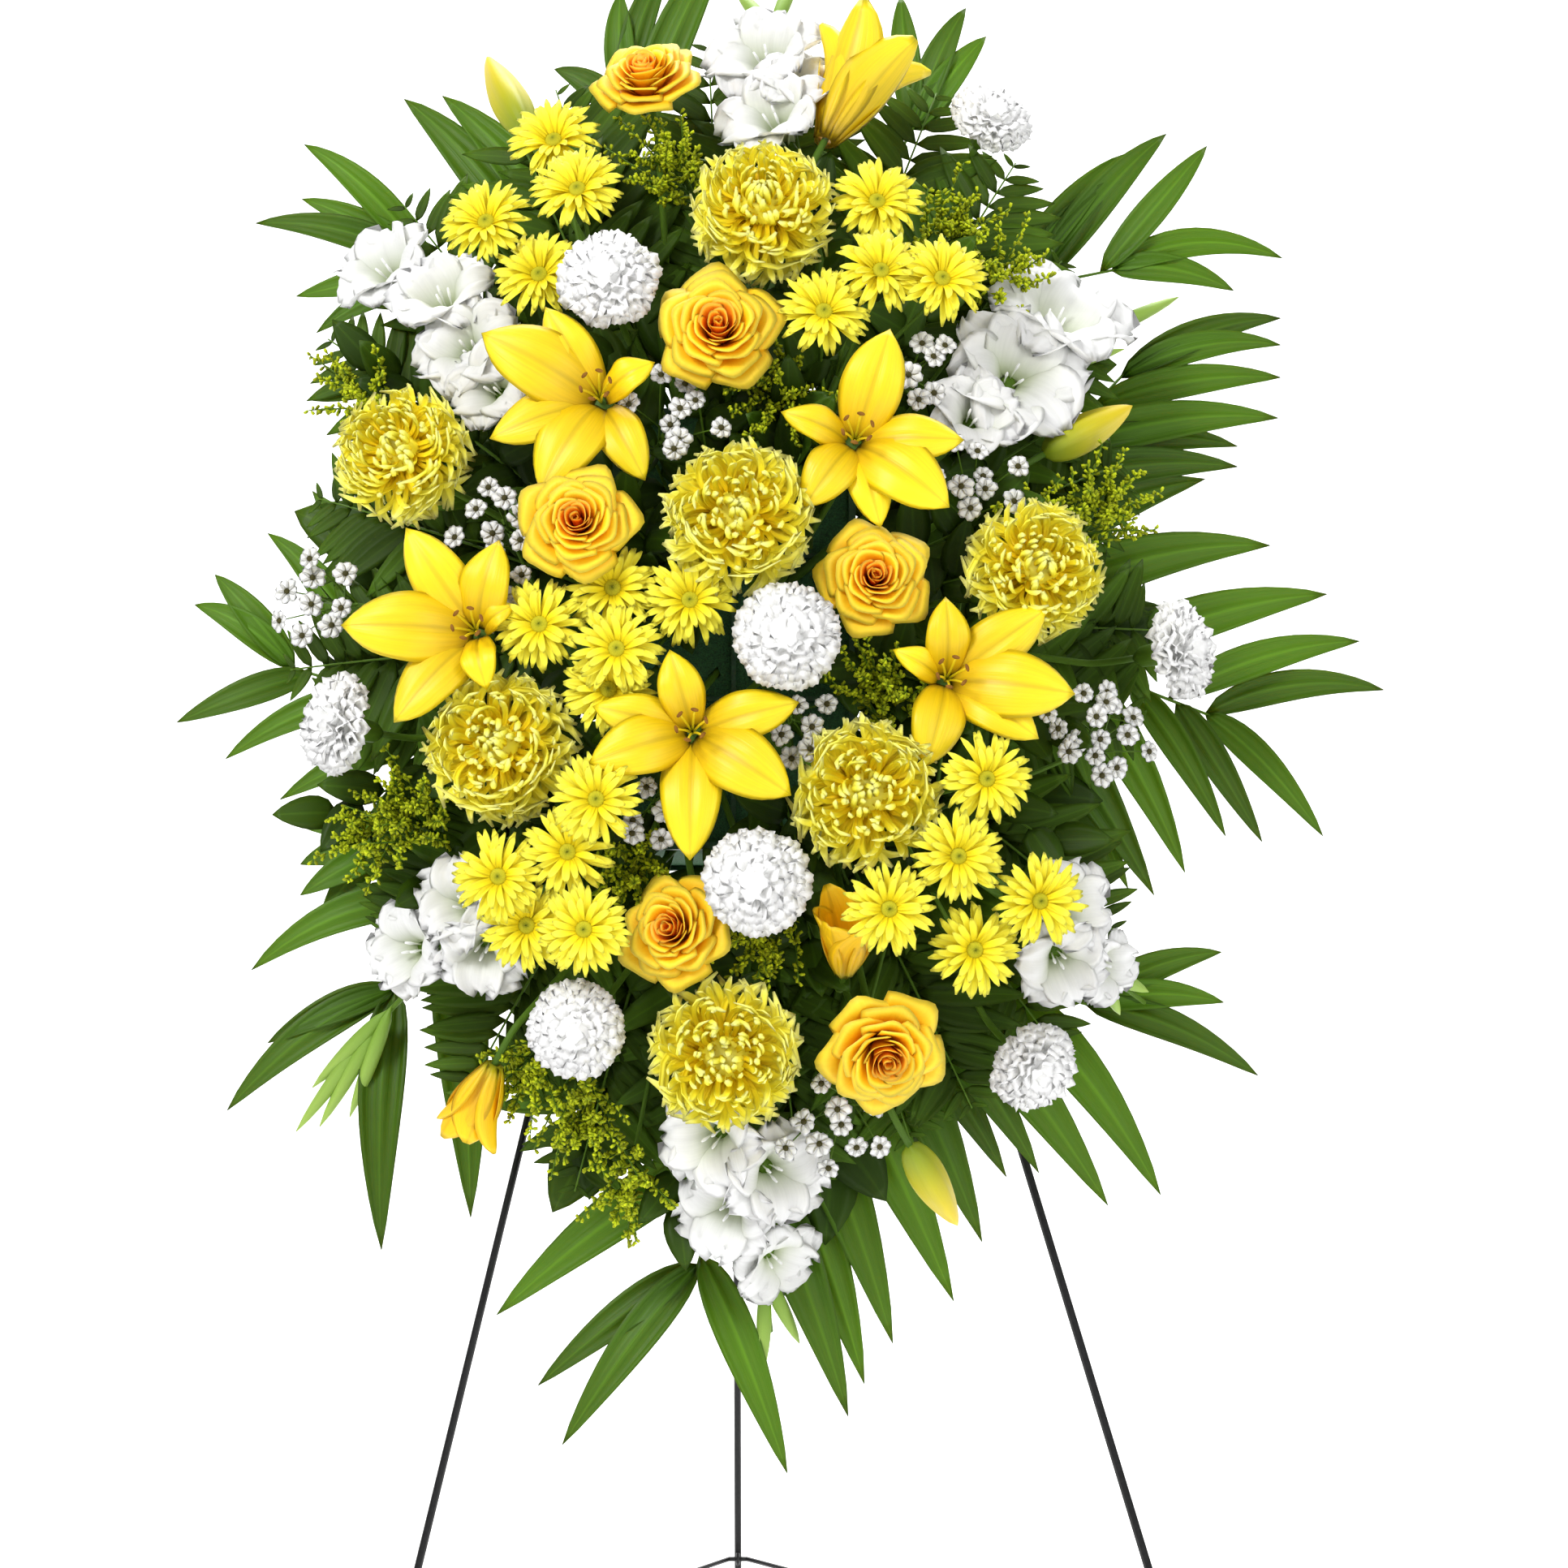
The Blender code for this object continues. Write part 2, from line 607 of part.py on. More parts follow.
def nearest_on(spine, point):
    """Nearest point of a stem's line, a little towards its root."""
    best = None
    for start, end in zip(spine, spine[1:]):
        line = end - start
        share = max(0.05, min(0.98, (point - start).dot(line) / line.length_squared - 0.12))
        spot = start + line * share
        if best is None or (spot - point).length < (best - point).length:
            best = spot
    return best


def middle_of(points):
    return sum(points, Vector()) / len(points)


def make_daisy_sprays():
    petals = colour_material("daisy_petals", (0.90, 0.84, 0.10), 0.6)
    for k, pixels in enumerate(DAISY_SPRAYS):
        heads = []
        for i, pixel in enumerate(pixels):
            centre = seen(pixel, dome(pixel) + DAISY_LIFTS[k] + DAISY_STEP * (i % 3))
            facing = outward(pixel)
            heads.append((facing_place(centre, facing, 0.3 * i), facing, true_size(DAISY_SIZE, centre) / 2))
        fork = middle_of([place.translation for place, facing, radius in heads]).lerp(FOAM_CENTRE, 0.30)
        end = take_slot(fork)
        along = (end - fork).normalized()
        shapes = [tube([fork - along * 0.004, end], [STEM_RADIUS] * 2)]
        for i, (place, facing, radius) in enumerate(heads):
            rings = star_rings(place, radius, DAISY_PETALS, 0.16, 0.55)
            below = place.translation - facing * 0.14 * radius
            root = fork + along * 0.007 * i
            twig = [below, below - facing * 0.012, root]
            shapes.append(on_stem(rings, place, twig, [0.0016, 0.0013, 0.0]))
        fuse(f"daisy_spray_{k + 1}", shapes, petals)


def cluster_offsets(count, spread):
    """Pixels round a cluster's middle, evenly spaced like seeds in a head."""
    turns = [(spread * sqrt((i + 0.5) / count), 2.4 * i) for i in range(count)]
    return [(far * cos(angle), far * sin(angle)) for far, angle in turns]


def make_fillers(name, nodes, spread, count, head, material):
    for k, (fork_pixel, fork_proud, clusters) in enumerate(nodes):
        hearts = [seen(pixel, dome(pixel) - FILLER_SINK - 0.035) for pixel in clusters]
        fork = seen(fork_pixel, fork_proud)
        end = take_slot(fork)
        along = (end - fork).normalized()
        shapes = [tube([fork - along * 0.004, end], [STEM_RADIUS] * 2)]
        for i, (pixel, heart) in enumerate(zip(clusters, hearts)):
            start = fork + along * 0.007 * i
            shapes.append(rod([start, heart], [0.0018, 0.0018], 3))
            twig = (start - heart).normalized()
            for j, (across, down) in enumerate(cluster_offsets(count, spread)):
                spot = (pixel[0] + across, pixel[1] + down)
                tip = seen(spot, dome(spot) - FILLER_SINK)
                shapes.append(head(heart + twig * (0.006 * j + 0.002), tip))
        fuse(f"{name}_{k + 1}", shapes, material)


def goldenrod_plume(root, tip):
    """Feathery branchlet: a thin rod that swells and narrows with its florets."""
    spots = [root.lerp(tip, share) for share in (0.40, 0.64, 0.84)]
    return loft([[root]] + tube_rings(spots, (0.0052, 0.0022, 0.0046), 3) + [[tip]])


def aster_star(root, tip):
    """Tiny five-petalled star on a thread of a stem."""
    facing = ((tip - root).normalized() + OUT).normalized()
    place = facing_place(tip, facing)
    rings = star_rings(place, ASTER_RADIUS, 5, 0.30, 0.45)
    return on_stem(rings, place, [tip - facing * 0.003, root], [0.0012, 0.0])


def palm_leaflet(spine, tip):
    """Leaflet from where it would leave the rachis at a steady angle, out to its tip."""
    start, end = spine[-2], spine[-1]
    line = (end - start).normalized()
    along = (tip - start).dot(line)
    aside = (tip - start - line * along).length
    share = (along - aside / math.tan(LEAFLET_ANGLE)) / (end - start).length
    root = start.lerp(end, max(0.1, min(0.96, share)))
    length = (tip - root).length
    path = bend(root, root.lerp(tip, 0.5) + OUT * 0.06 * length, tip, 3)
    widths = (1.0, 0.85)
    return blade(path, [w * LEAFLET_HALF * length for w in widths], OUT, 0.0014, 0.12)


def make_palms():
    green = colour_material("palm_leaf", (0.10, 0.28, 0.04), 0.45)
    for k, (fork_pixel, fronds) in enumerate(zip(PALM_FORKS, PALMS)):
        fork = seen(fork_pixel, PALM_FORK)
        end = take_slot(fork)
        along = (end - fork).normalized()
        shapes = [tube([fork - along * 0.006, end], [STEM_RADIUS] * 2)]
        for i, (proud, end_pixel, leaflets) in enumerate(fronds):
            tip = seen(end_pixel, proud)
            start = fork + along * 0.008 * i
            shapes.append(rod([start, tip], [0.0022, 0.0012]))
            for j, pixel in enumerate(leaflets):
                shapes.append(palm_leaflet([start, tip], seen(pixel, proud + (0.004 if j % 2 else -0.003))))
        fuse(f"palm_{k + 1}", shapes, green)


# The easel and the foam holder

def on_leg_plane(across, drop, proud=0.0):
    """Point across from the apex and a height below it, on the front legs' plane."""
    return APEX + RIGHT * across - UP * (drop / cos(LEAN)) + OUT * proud


def leg_across(foot_out, drop):
    return foot_out * drop / APEX.z


HINGE = on_leg_plane(-0.006, HINGE_DROP)
BACK_FOOT = Vector((HINGE.x, APEX.y + BACK_REACH, 0.0))


def wire(name, points, radius, material, cyclic=False, resolution=2):
    """Round wire through points, as a mesh with welded ends."""
    curve = bpy.data.curves.new(name, "CURVE")
    curve.dimensions = "3D"
    curve.bevel_depth = radius
    curve.bevel_resolution = resolution
    curve.use_fill_caps = True
    spline = curve.splines.new("POLY")
    spline.points.add(len(points) - 1)
    for spot, point in zip(spline.points, points):
        spot.co = (*point, 1.0)
    spline.use_cyclic_u = cyclic
    drawn = bpy.data.objects.new(name + "_path", curve)
    model.objects.link(drawn)
    graph = bpy.context.evaluated_depsgraph_get()
    mesh = bpy.data.meshes.new_from_object(drawn.evaluated_get(graph))
    solid = bmesh.new()
    solid.from_mesh(mesh)
    bmesh.ops.remove_doubles(solid, verts=solid.verts, dist=0.00001)
    bmesh.ops.recalc_face_normals(solid, faces=solid.faces)
    solid.to_mesh(mesh)
    solid.free()
    bpy.data.objects.remove(drawn)
    made = bpy.data.objects.new(name, mesh)
    model.objects.link(made)
    mesh.materials.clear()
    mesh.materials.append(material)
    return made


def cut_flat_foot(leg):
    """Cut a leg level with the floor, so that it stands on a flat face."""
    solid = bmesh.new()
    solid.from_mesh(leg.data)
    geometry = solid.verts[:] + solid.edges[:] + solid.faces[:]
    cut = bmesh.ops.bisect_plane(solid, geom=geometry, plane_co=(0, 0, 0), plane_no=(0, 0, -1),
                                 clear_outer=True)
    edges = [item for item in cut["geom_cut"] if isinstance(item, bmesh.types.BMEdge)]
    bmesh.ops.edgenet_fill(solid, edges=edges)
    bmesh.ops.recalc_face_normals(solid, faces=solid.faces)
    solid.to_mesh(leg.data)
    solid.free()


def arc(centre, first, second, radius, start, end, steps):
    """Points on an arc in the plane of two directions, by angles in degrees."""
    angles = [radians(start + (end - start) * k / steps) for k in range(steps + 1)]
    return [centre + (first * cos(a) + second * sin(a)) * radius for a in angles]


def make_easel():
    black = colour_material("easel_wire", (0.012, 0.012, 0.013), 0.35)
    below = 1.01
    left_top = on_leg_plane(leg_across(-LEFT_FOOT_OUT, HINGE_DROP), HINGE_DROP)
    right_top = on_leg_plane(leg_across(RIGHT_FOOT_OUT, HINGE_DROP), HINGE_DROP)
    left_foot = on_leg_plane(-LEFT_FOOT_OUT * below, APEX.z * below)
    right_foot = on_leg_plane(RIGHT_FOOT_OUT * below, APEX.z * below)
    bar_end = right_top - RIGHT * (LEG_RADIUS + GAP)
    left = wire("left_leg", [left_foot, left_top, bar_end], LEG_RADIUS, black)
    right = wire("right_leg", [right_foot, right_top + UP * LEG_RADIUS], LEG_RADIUS, black)

    bar_left = on_leg_plane(leg_across(-LEFT_FOOT_OUT, BAR_DROP), BAR_DROP)
    bar_right = on_leg_plane(leg_across(RIGHT_FOOT_OUT, BAR_DROP), BAR_DROP)
    inset = RIGHT * (LEG_RADIUS / cos(radians(16)) + GAP + 0.0006)
    wire("hanging_bar", [bar_left + inset, bar_right - inset], BAR_RADIUS, black)

    down = (BACK_FOOT - HINGE).normalized()
    behind = RIGHT.cross(down).normalized()
    eye_radius = LEG_RADIUS + BACK_LEG_RADIUS + GAP + 0.0003
    eye = arc(HINGE, down, behind, eye_radius, 30, 330, 10)
    shank = HINGE + down * (eye_radius + 0.006)
    leg_top = HINGE + down * 0.030
    back = wire("back_leg", [BACK_FOOT + down * 0.02, leg_top, shank] + eye, BACK_LEG_RADIUS, black)
    loop = back_loop(black)
    keep = new_collection("back_leg_loop")
    model.objects.unlink(loop)
    keep.objects.link(loop)
    join_boolean(back, keep, "UNION")
    for leg in (left, right, back):
        cut_flat_foot(leg)
    make_spreader(black)


def spreader_pivot():
    """Middle of the back leg's small loop, in front of the leg at the spreader's height."""
    share = (HINGE.z - SPREADER_HEIGHT) / HINGE.z
    on_leg = HINGE.lerp(BACK_FOOT, share)
    return Vector((on_leg.x, on_leg.y - LOOP_STAND, SPREADER_HEIGHT))


def back_loop(material):
    """Small ring on the front of the back leg, which the spreader's middle turns in."""
    up = Vector((0, 0, 1))
    radius = SPREADER_RADIUS + 0.0015 + GAP + 0.0002
    ring = arc(spreader_pivot(), Vector((0, 1, 0)), up, radius, 0, 330, 11)
    return wire("back_loop", ring, 0.0015, material, cyclic=True)


def make_spreader(material):
    """V of wire from the back leg's loop to a hook round the front of each front leg."""
    pivot = spreader_pivot()
    height = SPREADER_HEIGHT
    drop = APEX.z - height
    paths = []
    for foot_out, side in ((-LEFT_FOOT_OUT, -1), (RIGHT_FOOT_OUT, 1)):
        leg = on_leg_plane(leg_across(foot_out, drop), drop)
        outer = RIGHT * side
        front = Vector((0, -1, 0))
        hook = arc(leg, outer, front, SPREADER_HOOK, 180, 0, 8)
        start = pivot + outer * 0.007
        paths.append([start] + hook)
    points = list(reversed(paths[0])) + paths[1]
    wire("spreader", points, SPREADER_RADIUS, material)


def box_shape(middle, half_across, half_up, half_out):
    """Box along the holder's own directions."""
    corners = []
    for out in (-half_out, half_out):
        for across, up in ((-half_across, -half_up), (half_across, -half_up),
                           (half_across, half_up), (-half_across, half_up)):
            corners.append(middle + RIGHT * across + UP * up + OUT * out)
    return prism(corners[:4], corners[4:])


def holder_box(low, high):
    """Box between two corners given across, up and out from the foam's middle."""
    middle = in_foam([(a + b) / 2 for a, b in zip(low, high)])
    return box_shape(middle, *[(b - a) / 2 for a, b in zip(low, high)])


def window_boxes():
    """Cutters for the cage's windows: through its front, its two sides, its top and its bottom."""
    far = 0.02
    boxes = []
    for normal, sides in ((2, (1,)), (0, (-1, 1)), (1, (-1, 1))):
        first, second = [axis for axis in range(3) if axis != normal]
        for side in sides:
            for a in range(WINDOWS[first]):
                for b in range(WINDOWS[second]):
                    low, high = [0.0] * 3, [0.0] * 3
                    for axis, k in ((first, a), (second, b)):
                        pitch = 2 * FOAM_HALF[axis] / WINDOWS[axis]
                        low[axis] = k * pitch - FOAM_HALF[axis] + RIB / 2
                        high[axis] = (k + 1) * pitch - FOAM_HALF[axis] - RIB / 2
                    near = side * (FOAM_HALF[normal] - 0.002)
                    beyond = side * (FOAM_HALF[normal] + far)
                    low[normal], high[normal] = min(near, beyond), max(near, beyond)
                    boxes.append(holder_box(low, high))
    return boxes


def cut_boxes(target, boxes, label):
    cutters = new_collection(label)
    for k, shape in enumerate(boxes):
        cutter = put_in(cutters, f"{label}_{k}", shape)
        cutter.hide_render = True
        cutter.display_type = "WIRE"
    join_boolean(target, cutters, "DIFFERENCE")


def make_holder():
    plastic = colour_material("cage_plastic", (0.05, 0.16, 0.07), 0.5)
    wet_foam = colour_material("wet_foam", (0.06, 0.22, 0.09), 0.95)
    inner = [half + GAP for half in FOAM_HALF]
    outer = [half + RIB for half in inner]
    low = [-outer[0], -outer[1], -inner[2] - PLATE]
    back = -inner[2] - PLATE
    bar_up = from_foam(on_leg_plane(0.0, BAR_DROP))[1]
    bar_out = from_foam(on_leg_plane(0.0, BAR_DROP))[2]
    over = bar_up + BAR_RADIUS + GAP
    behind = bar_out - BAR_RADIUS - GAP
    shapes = [holder_box(low, outer)]
    for across in HOOKS:
        left, right = across - HOOK_WIDTH / 2, across + HOOK_WIDTH / 2
        shapes.append(holder_box((left, outer[1] - 0.005, back), (right, over + HOOK_THICK, -inner[2])))
        shapes.append(holder_box((left, over, behind - HOOK_THICK), (right, over + HOOK_THICK, back + 0.001)))
        shapes.append(holder_box((left, over - 0.010, behind - HOOK_THICK), (right, over + 0.001, behind)))
    cage = fuse("cage", shapes, plastic)
    cut_boxes(cage, [holder_box([-half for half in inner], inner)], "foam_space")
    cut_boxes(cage, window_boxes(), "windows")

    foam = put_in(model, "foam", holder_box([-half for half in FOAM_HALF], FOAM_HALF))
    foam.data.materials.append(wet_foam)
    cut_boxes(foam, [prism(*tube_rings(ends, [HOLE_RADIUS] * 2, 4)) for ends in holes], "stem_holes")


def main():
    make_palms()
    make_gladioli()
    make_fillers("goldenrod", GOLDENRODS, 52, 5, goldenrod_plume,
                 colour_material("goldenrod_florets", (0.50, 0.50, 0.05), 0.8))
    make_fillers("aster", ASTERS, 34, 3, aster_star,
                 colour_material("aster_petals", (0.93, 0.92, 0.85), 0.7))
    make_daisy_sprays()
    make_lily_buds()
    make_lilies()
    make_round_heads()
    make_easel()
    make_holder()


main()
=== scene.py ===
# %% [markdown]
# # A standing spray of yellow and white flowers on a black wire easel
# Each flower of the arrangement is made here petal by petal, as surfaces worked out with numpy.
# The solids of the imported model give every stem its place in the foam, and the flowers grow from
# there. The solids are kept under the new pieces, because they carry the weight and the joints.

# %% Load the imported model
import json
import math
import bpy
import numpy as np
from mathutils import Matrix

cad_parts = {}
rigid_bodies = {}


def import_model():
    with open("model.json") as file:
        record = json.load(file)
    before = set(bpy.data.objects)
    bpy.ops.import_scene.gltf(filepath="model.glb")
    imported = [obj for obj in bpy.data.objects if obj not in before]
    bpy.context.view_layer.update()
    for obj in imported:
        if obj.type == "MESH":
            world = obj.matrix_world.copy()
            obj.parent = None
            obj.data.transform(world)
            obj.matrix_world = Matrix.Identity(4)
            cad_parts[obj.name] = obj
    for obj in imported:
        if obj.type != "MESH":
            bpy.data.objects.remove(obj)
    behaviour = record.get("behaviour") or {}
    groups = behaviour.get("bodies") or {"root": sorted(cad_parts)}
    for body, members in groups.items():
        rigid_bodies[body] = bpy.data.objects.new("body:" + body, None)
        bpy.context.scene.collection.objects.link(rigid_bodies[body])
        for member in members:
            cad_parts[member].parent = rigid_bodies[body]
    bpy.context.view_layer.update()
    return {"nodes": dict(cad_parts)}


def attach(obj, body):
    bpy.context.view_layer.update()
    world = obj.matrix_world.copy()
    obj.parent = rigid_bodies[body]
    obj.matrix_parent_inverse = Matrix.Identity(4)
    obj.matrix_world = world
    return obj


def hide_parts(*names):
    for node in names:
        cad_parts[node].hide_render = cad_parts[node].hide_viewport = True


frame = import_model()
nodes = frame["nodes"]

# %% [markdown]
# ## Where things are
# A florist builds the spray on the easel's leaning front, so the useful directions are across it,
# up along it and out of it. The camera stands where the photographer stood: 3.2 m in front, level,
# a little below the top of the spray. A flower could be placed by typing three coordinates, but it
# is easier to say where it shows in the photograph and how far it stands out, so that is done here.

# %% Directions and the viewpoint
APEX = np.array([-0.028, -0.016, 1.36])
FEET_FORWARD = 0.24
LEAN = math.atan2(FEET_FORWARD, APEX[2])
RIGHT = np.array([1.0, 0.0, 0.0])
OUT = np.array([0.0, -math.cos(LEAN), math.sin(LEAN)])
UP = np.array([0.0, math.sin(LEAN), math.cos(LEAN)])
VIEW_DISTANCE = 3.20
EYE = APEX + np.array([0.0296, -VIEW_DISTANCE, -0.392])

# %% The photograph's frame: its width, the apex in it, and what a pixel spans at the apex
FRAME_WIDTH = 1932
APEX_PIXEL = (915, 290)
PIXEL = 0.00058
print("the easel leans back by", round(math.degrees(LEAN), 1), "degrees")

# %% From a place in the frame to a point on the spray
DOME_EDGE, DOME_RISE = 0.070, 0.185
SPRAY_PIXEL, SPRAY_HALF = np.array([900, 780]), np.array([590, 790])


def seen(pixel, proud):
    """Points that show at pixels of the frame and stand proud of the legs' plane.

    The point is eye + ray * t, with t chosen so that (point - apex) . out = proud.
    """
    pixel = np.asarray(pixel, float)
    across = (pixel[..., :1] - APEX_PIXEL[0]) * PIXEL
    down = (pixel[..., 1:] - APEX_PIXEL[1]) * PIXEL
    ray = APEX + np.concatenate([across, 0 * across, -down], -1) - EYE
    reach = (np.asarray(proud) - (EYE - APEX) @ OUT) / (ray @ OUT)
    return EYE + ray * reach[..., None]


def true_size(pixels, point):
    """Real length of a number of pixels at the depth of a point."""
    return pixels * PIXEL * (point[1] - EYE[1]) / VIEW_DISTANCE


def dome(pixel):
    """How far the spray's surface stands proud: edge + rise * sqrt(1 - x^2 - y^2)."""
    away = (np.asarray(pixel, float) - SPRAY_PIXEL) / SPRAY_HALF
    return DOME_EDGE + DOME_RISE * np.sqrt(np.maximum(0.0, 1 - (away ** 2).sum(-1)))


def unit(arrow):
    """Arrows of length 1 along the last axis."""
    return arrow / np.linalg.norm(arrow, axis=-1, keepdims=True)


def outward(pixel, lean=0.55):
    """The way a flower faces: out of the dome, more to the side near its edge."""
    across, down = (np.asarray(pixel, float) - SPRAY_PIXEL) / SPRAY_HALF
    return unit(OUT + (RIGHT * across - UP * down) * lean * math.hypot(across, down))


# %% The foam block that every stem stands in
FOAM_HALF = np.array([0.080, 0.150, 0.045])
FOAM_PIXEL, FOAM_BACK = (905, 790), 0.0062
FOAM_CENTRE = seen(FOAM_PIXEL, FOAM_BACK + FOAM_HALF[2])
print("foam centre", FOAM_CENTRE.round(3), "viewpoint", EYE.round(3))

# %% [markdown]
# ## Sheets and tubes
# Nearly everything here is a thin sheet: a petal or a leaf. A sheet is a grid of points over two
# parameters, u along it and v across it. Its back is the same grid moved back by the thickness,
# which falls to nothing at the rim, so the sheet is closed. Stems are rings round a line of points.
# A Solidify modifier and curve objects could do the same, but there are thousands of petals, and
# whole arrays make them all at once.

# %% Triangles over a grid


def grid_faces(rows, columns, wrap=False):
    """Triangles over a grid of rows and columns, joined round where it wraps."""
    i, j = np.meshgrid(np.arange(rows - 1), np.arange(columns - (not wrap)), indexing="ij")
    a, b = i * columns + j, i * columns + (j + 1) % columns
    c, d = a + columns, b + columns
    return np.stack([a, b, d, a, d, c], -1).reshape(-1, 3)


def patch(points, faces, along, across, tone):
    """Points (n, 3), triangles and three numbers a point, for the materials to read."""
    numbers = np.stack([np.broadcast_to(x, points.shape[:-1]).ravel() for x in (along, across, tone)], -1)
    return points.reshape(-1, 3), faces, numbers


print("a grid of 3 by 4 points has", len(grid_faces(3, 4)), "triangles")

# %% Closed sheets


def sheets(front, thick=0.0005, tone=0.5):
    """Closed sheets from their front faces, an array of (sheets, rows, columns, 3).

    back = front - normal * thick * rim(u, v), where rim is 0 on the edge and 1 one row inside it.
    """
    count, rows, columns = front.shape[:3]
    ahead, side = np.gradient(front, axis=1), np.gradient(front, axis=2)
    normal = np.cross(side, ahead)
    normal /= np.linalg.norm(normal, axis=-1, keepdims=True) + 1e-12
    back = (front - normal * thick)[:, 1:-1, 1:-1]
    face_grid = grid_faces(rows, columns)
    number = np.arange(rows * columns).reshape(rows, columns)
    number[1:-1, 1:-1] = rows * columns + np.arange((rows - 2) * (columns - 2)).reshape(rows - 2, -1)
    both = np.concatenate([face_grid, number.ravel()[face_grid][:, ::-1]])
    block = rows * columns + (rows - 2) * (columns - 2)
    points = np.concatenate([front.reshape(count, -1, 3), back.reshape(count, -1, 3)], 1)
    faces = (both + block * np.arange(count)[:, None, None]).reshape(-1, 3)
    u, v = np.meshgrid(np.linspace(0, 1, rows), np.linspace(0, 1, columns), indexing="ij")
    u, v = (np.concatenate([x.ravel(), x[1:-1, 1:-1].ravel()]) for x in (u, v))
    return patch(points, faces, u, v, np.broadcast_to(tone, count)[:, None])


print("a sheet of 7 rows and 5 columns has", len(sheets(np.zeros((1, 7, 5, 3)))[1]), "triangles")

# %% The front of a petal or leaf, carried along a line


def blades(centre, normal, half, fold=0.01, lift=0.0, reach=0.0, columns=5):
    """Front faces of petals or leaves, each along its own line of points.

    point = centre + side * w sin(fold v) / fold + normal * (w (1 - cos(fold v)) / fold + lift)
            + ahead * reach, with side = ahead x normal, v from -1 to 1 and w the half width.
    """
    ahead = unit(np.gradient(centre, axis=1))
    side = unit(np.cross(ahead, normal))
    normal = np.cross(side, ahead)
    v = np.linspace(-1, 1, columns)
    fold = np.broadcast_to(fold, half.shape)[..., None] + 1e-6
    aside = half[..., None] * np.sin(fold * v) / fold
    above = half[..., None] * (1 - np.cos(fold * v)) / fold + lift
    forward = np.broadcast_to(reach, above.shape)
    return (centre[:, :, None] + side[:, :, None] * aside[..., None]
            + normal[:, :, None] * above[..., None] + ahead[:, :, None] * forward[..., None])


# %% Closed tubes along lines


def tubes(centre, radius, sides=6, tone=0.5, lobes=0, depth=0.0):
    """Closed tubes round lines of points, an array of (tubes, rows, 3), with a pole at each end.

    point = centre + (a cos t + b sin t) * radius * (1 + depth cos(lobes t)), where a and b are
    square to the line.
    """
    count, rows = centre.shape[:2]
    ahead = unit(np.gradient(centre, axis=1))
    handy = np.where(np.abs(ahead[:, :1] @ OUT)[..., None] < 0.8, OUT, RIGHT)
    a = unit(handy - ahead * (handy * ahead).sum(-1, keepdims=True))
    b = np.cross(ahead, a)
    t = np.linspace(0, 2 * math.pi, sides, endpoint=False)
    ring = (a[:, :, None] * np.cos(t)[:, None] + b[:, :, None] * np.sin(t)[:, None])
    wide = np.broadcast_to(radius, (count, rows))[..., None] * (1 + depth * np.cos(lobes * t))
    points = centre[:, :, None] + ring * wide[..., None]
    block = rows * sides + 2
    points = np.concatenate([points.reshape(count, -1, 3), centre[:, [0, -1]]], 1)
    i = np.arange(sides)
    low = np.stack([(i + 1) % sides, i, np.full(sides, rows * sides)], -1)
    high = np.stack([i, (i + 1) % sides, np.full(sides, rows * sides + 1)], -1)
    high[:, :2] += (rows - 1) * sides
    faces = np.concatenate([grid_faces(rows, sides, wrap=True), low, high])
    faces = (faces + block * np.arange(count)[:, None, None]).reshape(-1, 3)
    u = np.concatenate([np.repeat(np.linspace(0, 1, rows), sides), [0, 1]])
    v = np.concatenate([np.tile(np.linspace(0, 1, sides), rows), [0.5, 0.5]])
    return patch(points, faces, u, v, np.broadcast_to(tone, count)[:, None])


def curve(start, middle, end, rows):
    """Lines (n, rows, 3) from start to end that bend towards middle: a quadratic curve."""
    u = np.linspace(0, 1, rows)[:, None]
    start, middle, end = (np.atleast_2d(x)[:, None] for x in (start, middle, end))
    return start * (1 - u) ** 2 + middle * 2 * u * (1 - u) + end * u ** 2


print("a stem of 5 rows has", len(tubes(curve(0 * UP, UP, 2 * UP, 5), 0.002)[1]), "triangles")

# %% [markdown]
# ## Pieces
# A piece is one mesh, made of patches with a material each. It carries a UV map with u and v, and
# a tone, one number a petal, so that a material can follow the petal and vary from one to the next.
# A flower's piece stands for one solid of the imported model. Every piece rides on a body of that
# model, so nothing is left behind when the easel folds.

# %% Build a piece


def build(name, patches, replaces=(), body="frame"):
    """Mesh object from (patch, material) pairs, riding on a body and standing for its solids."""
    mesh = bpy.data.meshes.new(name)
    materials = []
    points, faces, numbers, index = [], [], [], []
    offset = 0
    for (spots, triangles, extra), material in patches:
        if material not in materials:
            materials.append(material)
        points.append(spots)
        faces.append(triangles + offset)
        numbers.append(extra)
        index.append(np.full(len(triangles), materials.index(material)))
        offset += len(spots)
    points, faces, numbers, index = (np.concatenate(x) for x in (points, faces, numbers, index))
    mesh.vertices.add(len(points))
    mesh.vertices.foreach_set("co", points.ravel())
    mesh.loops.add(faces.size)
    mesh.loops.foreach_set("vertex_index", faces.ravel())
    mesh.polygons.add(len(faces))
    mesh.polygons.foreach_set("loop_start", np.arange(0, faces.size, 3))
    for material in materials:
        mesh.materials.append(material)
    mesh.polygons.foreach_set("material_index", index)
    mesh.polygons.foreach_set("use_smooth", np.ones(len(faces), bool))
    uv = mesh.uv_layers.new(name="petal")
    uv.data.foreach_set("uv", numbers[faces.ravel(), :2].ravel())
    tone = mesh.attributes.new("tone", "FLOAT", "POINT")
    tone.data.foreach_set("value", numbers[:, 2].copy())
    mesh.update(calc_edges=True)
    piece = bpy.data.objects.new(name, mesh)
    bpy.context.scene.collection.objects.link(piece)
    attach(piece, body)
    if replaces:
        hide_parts(*replaces)
    return piece


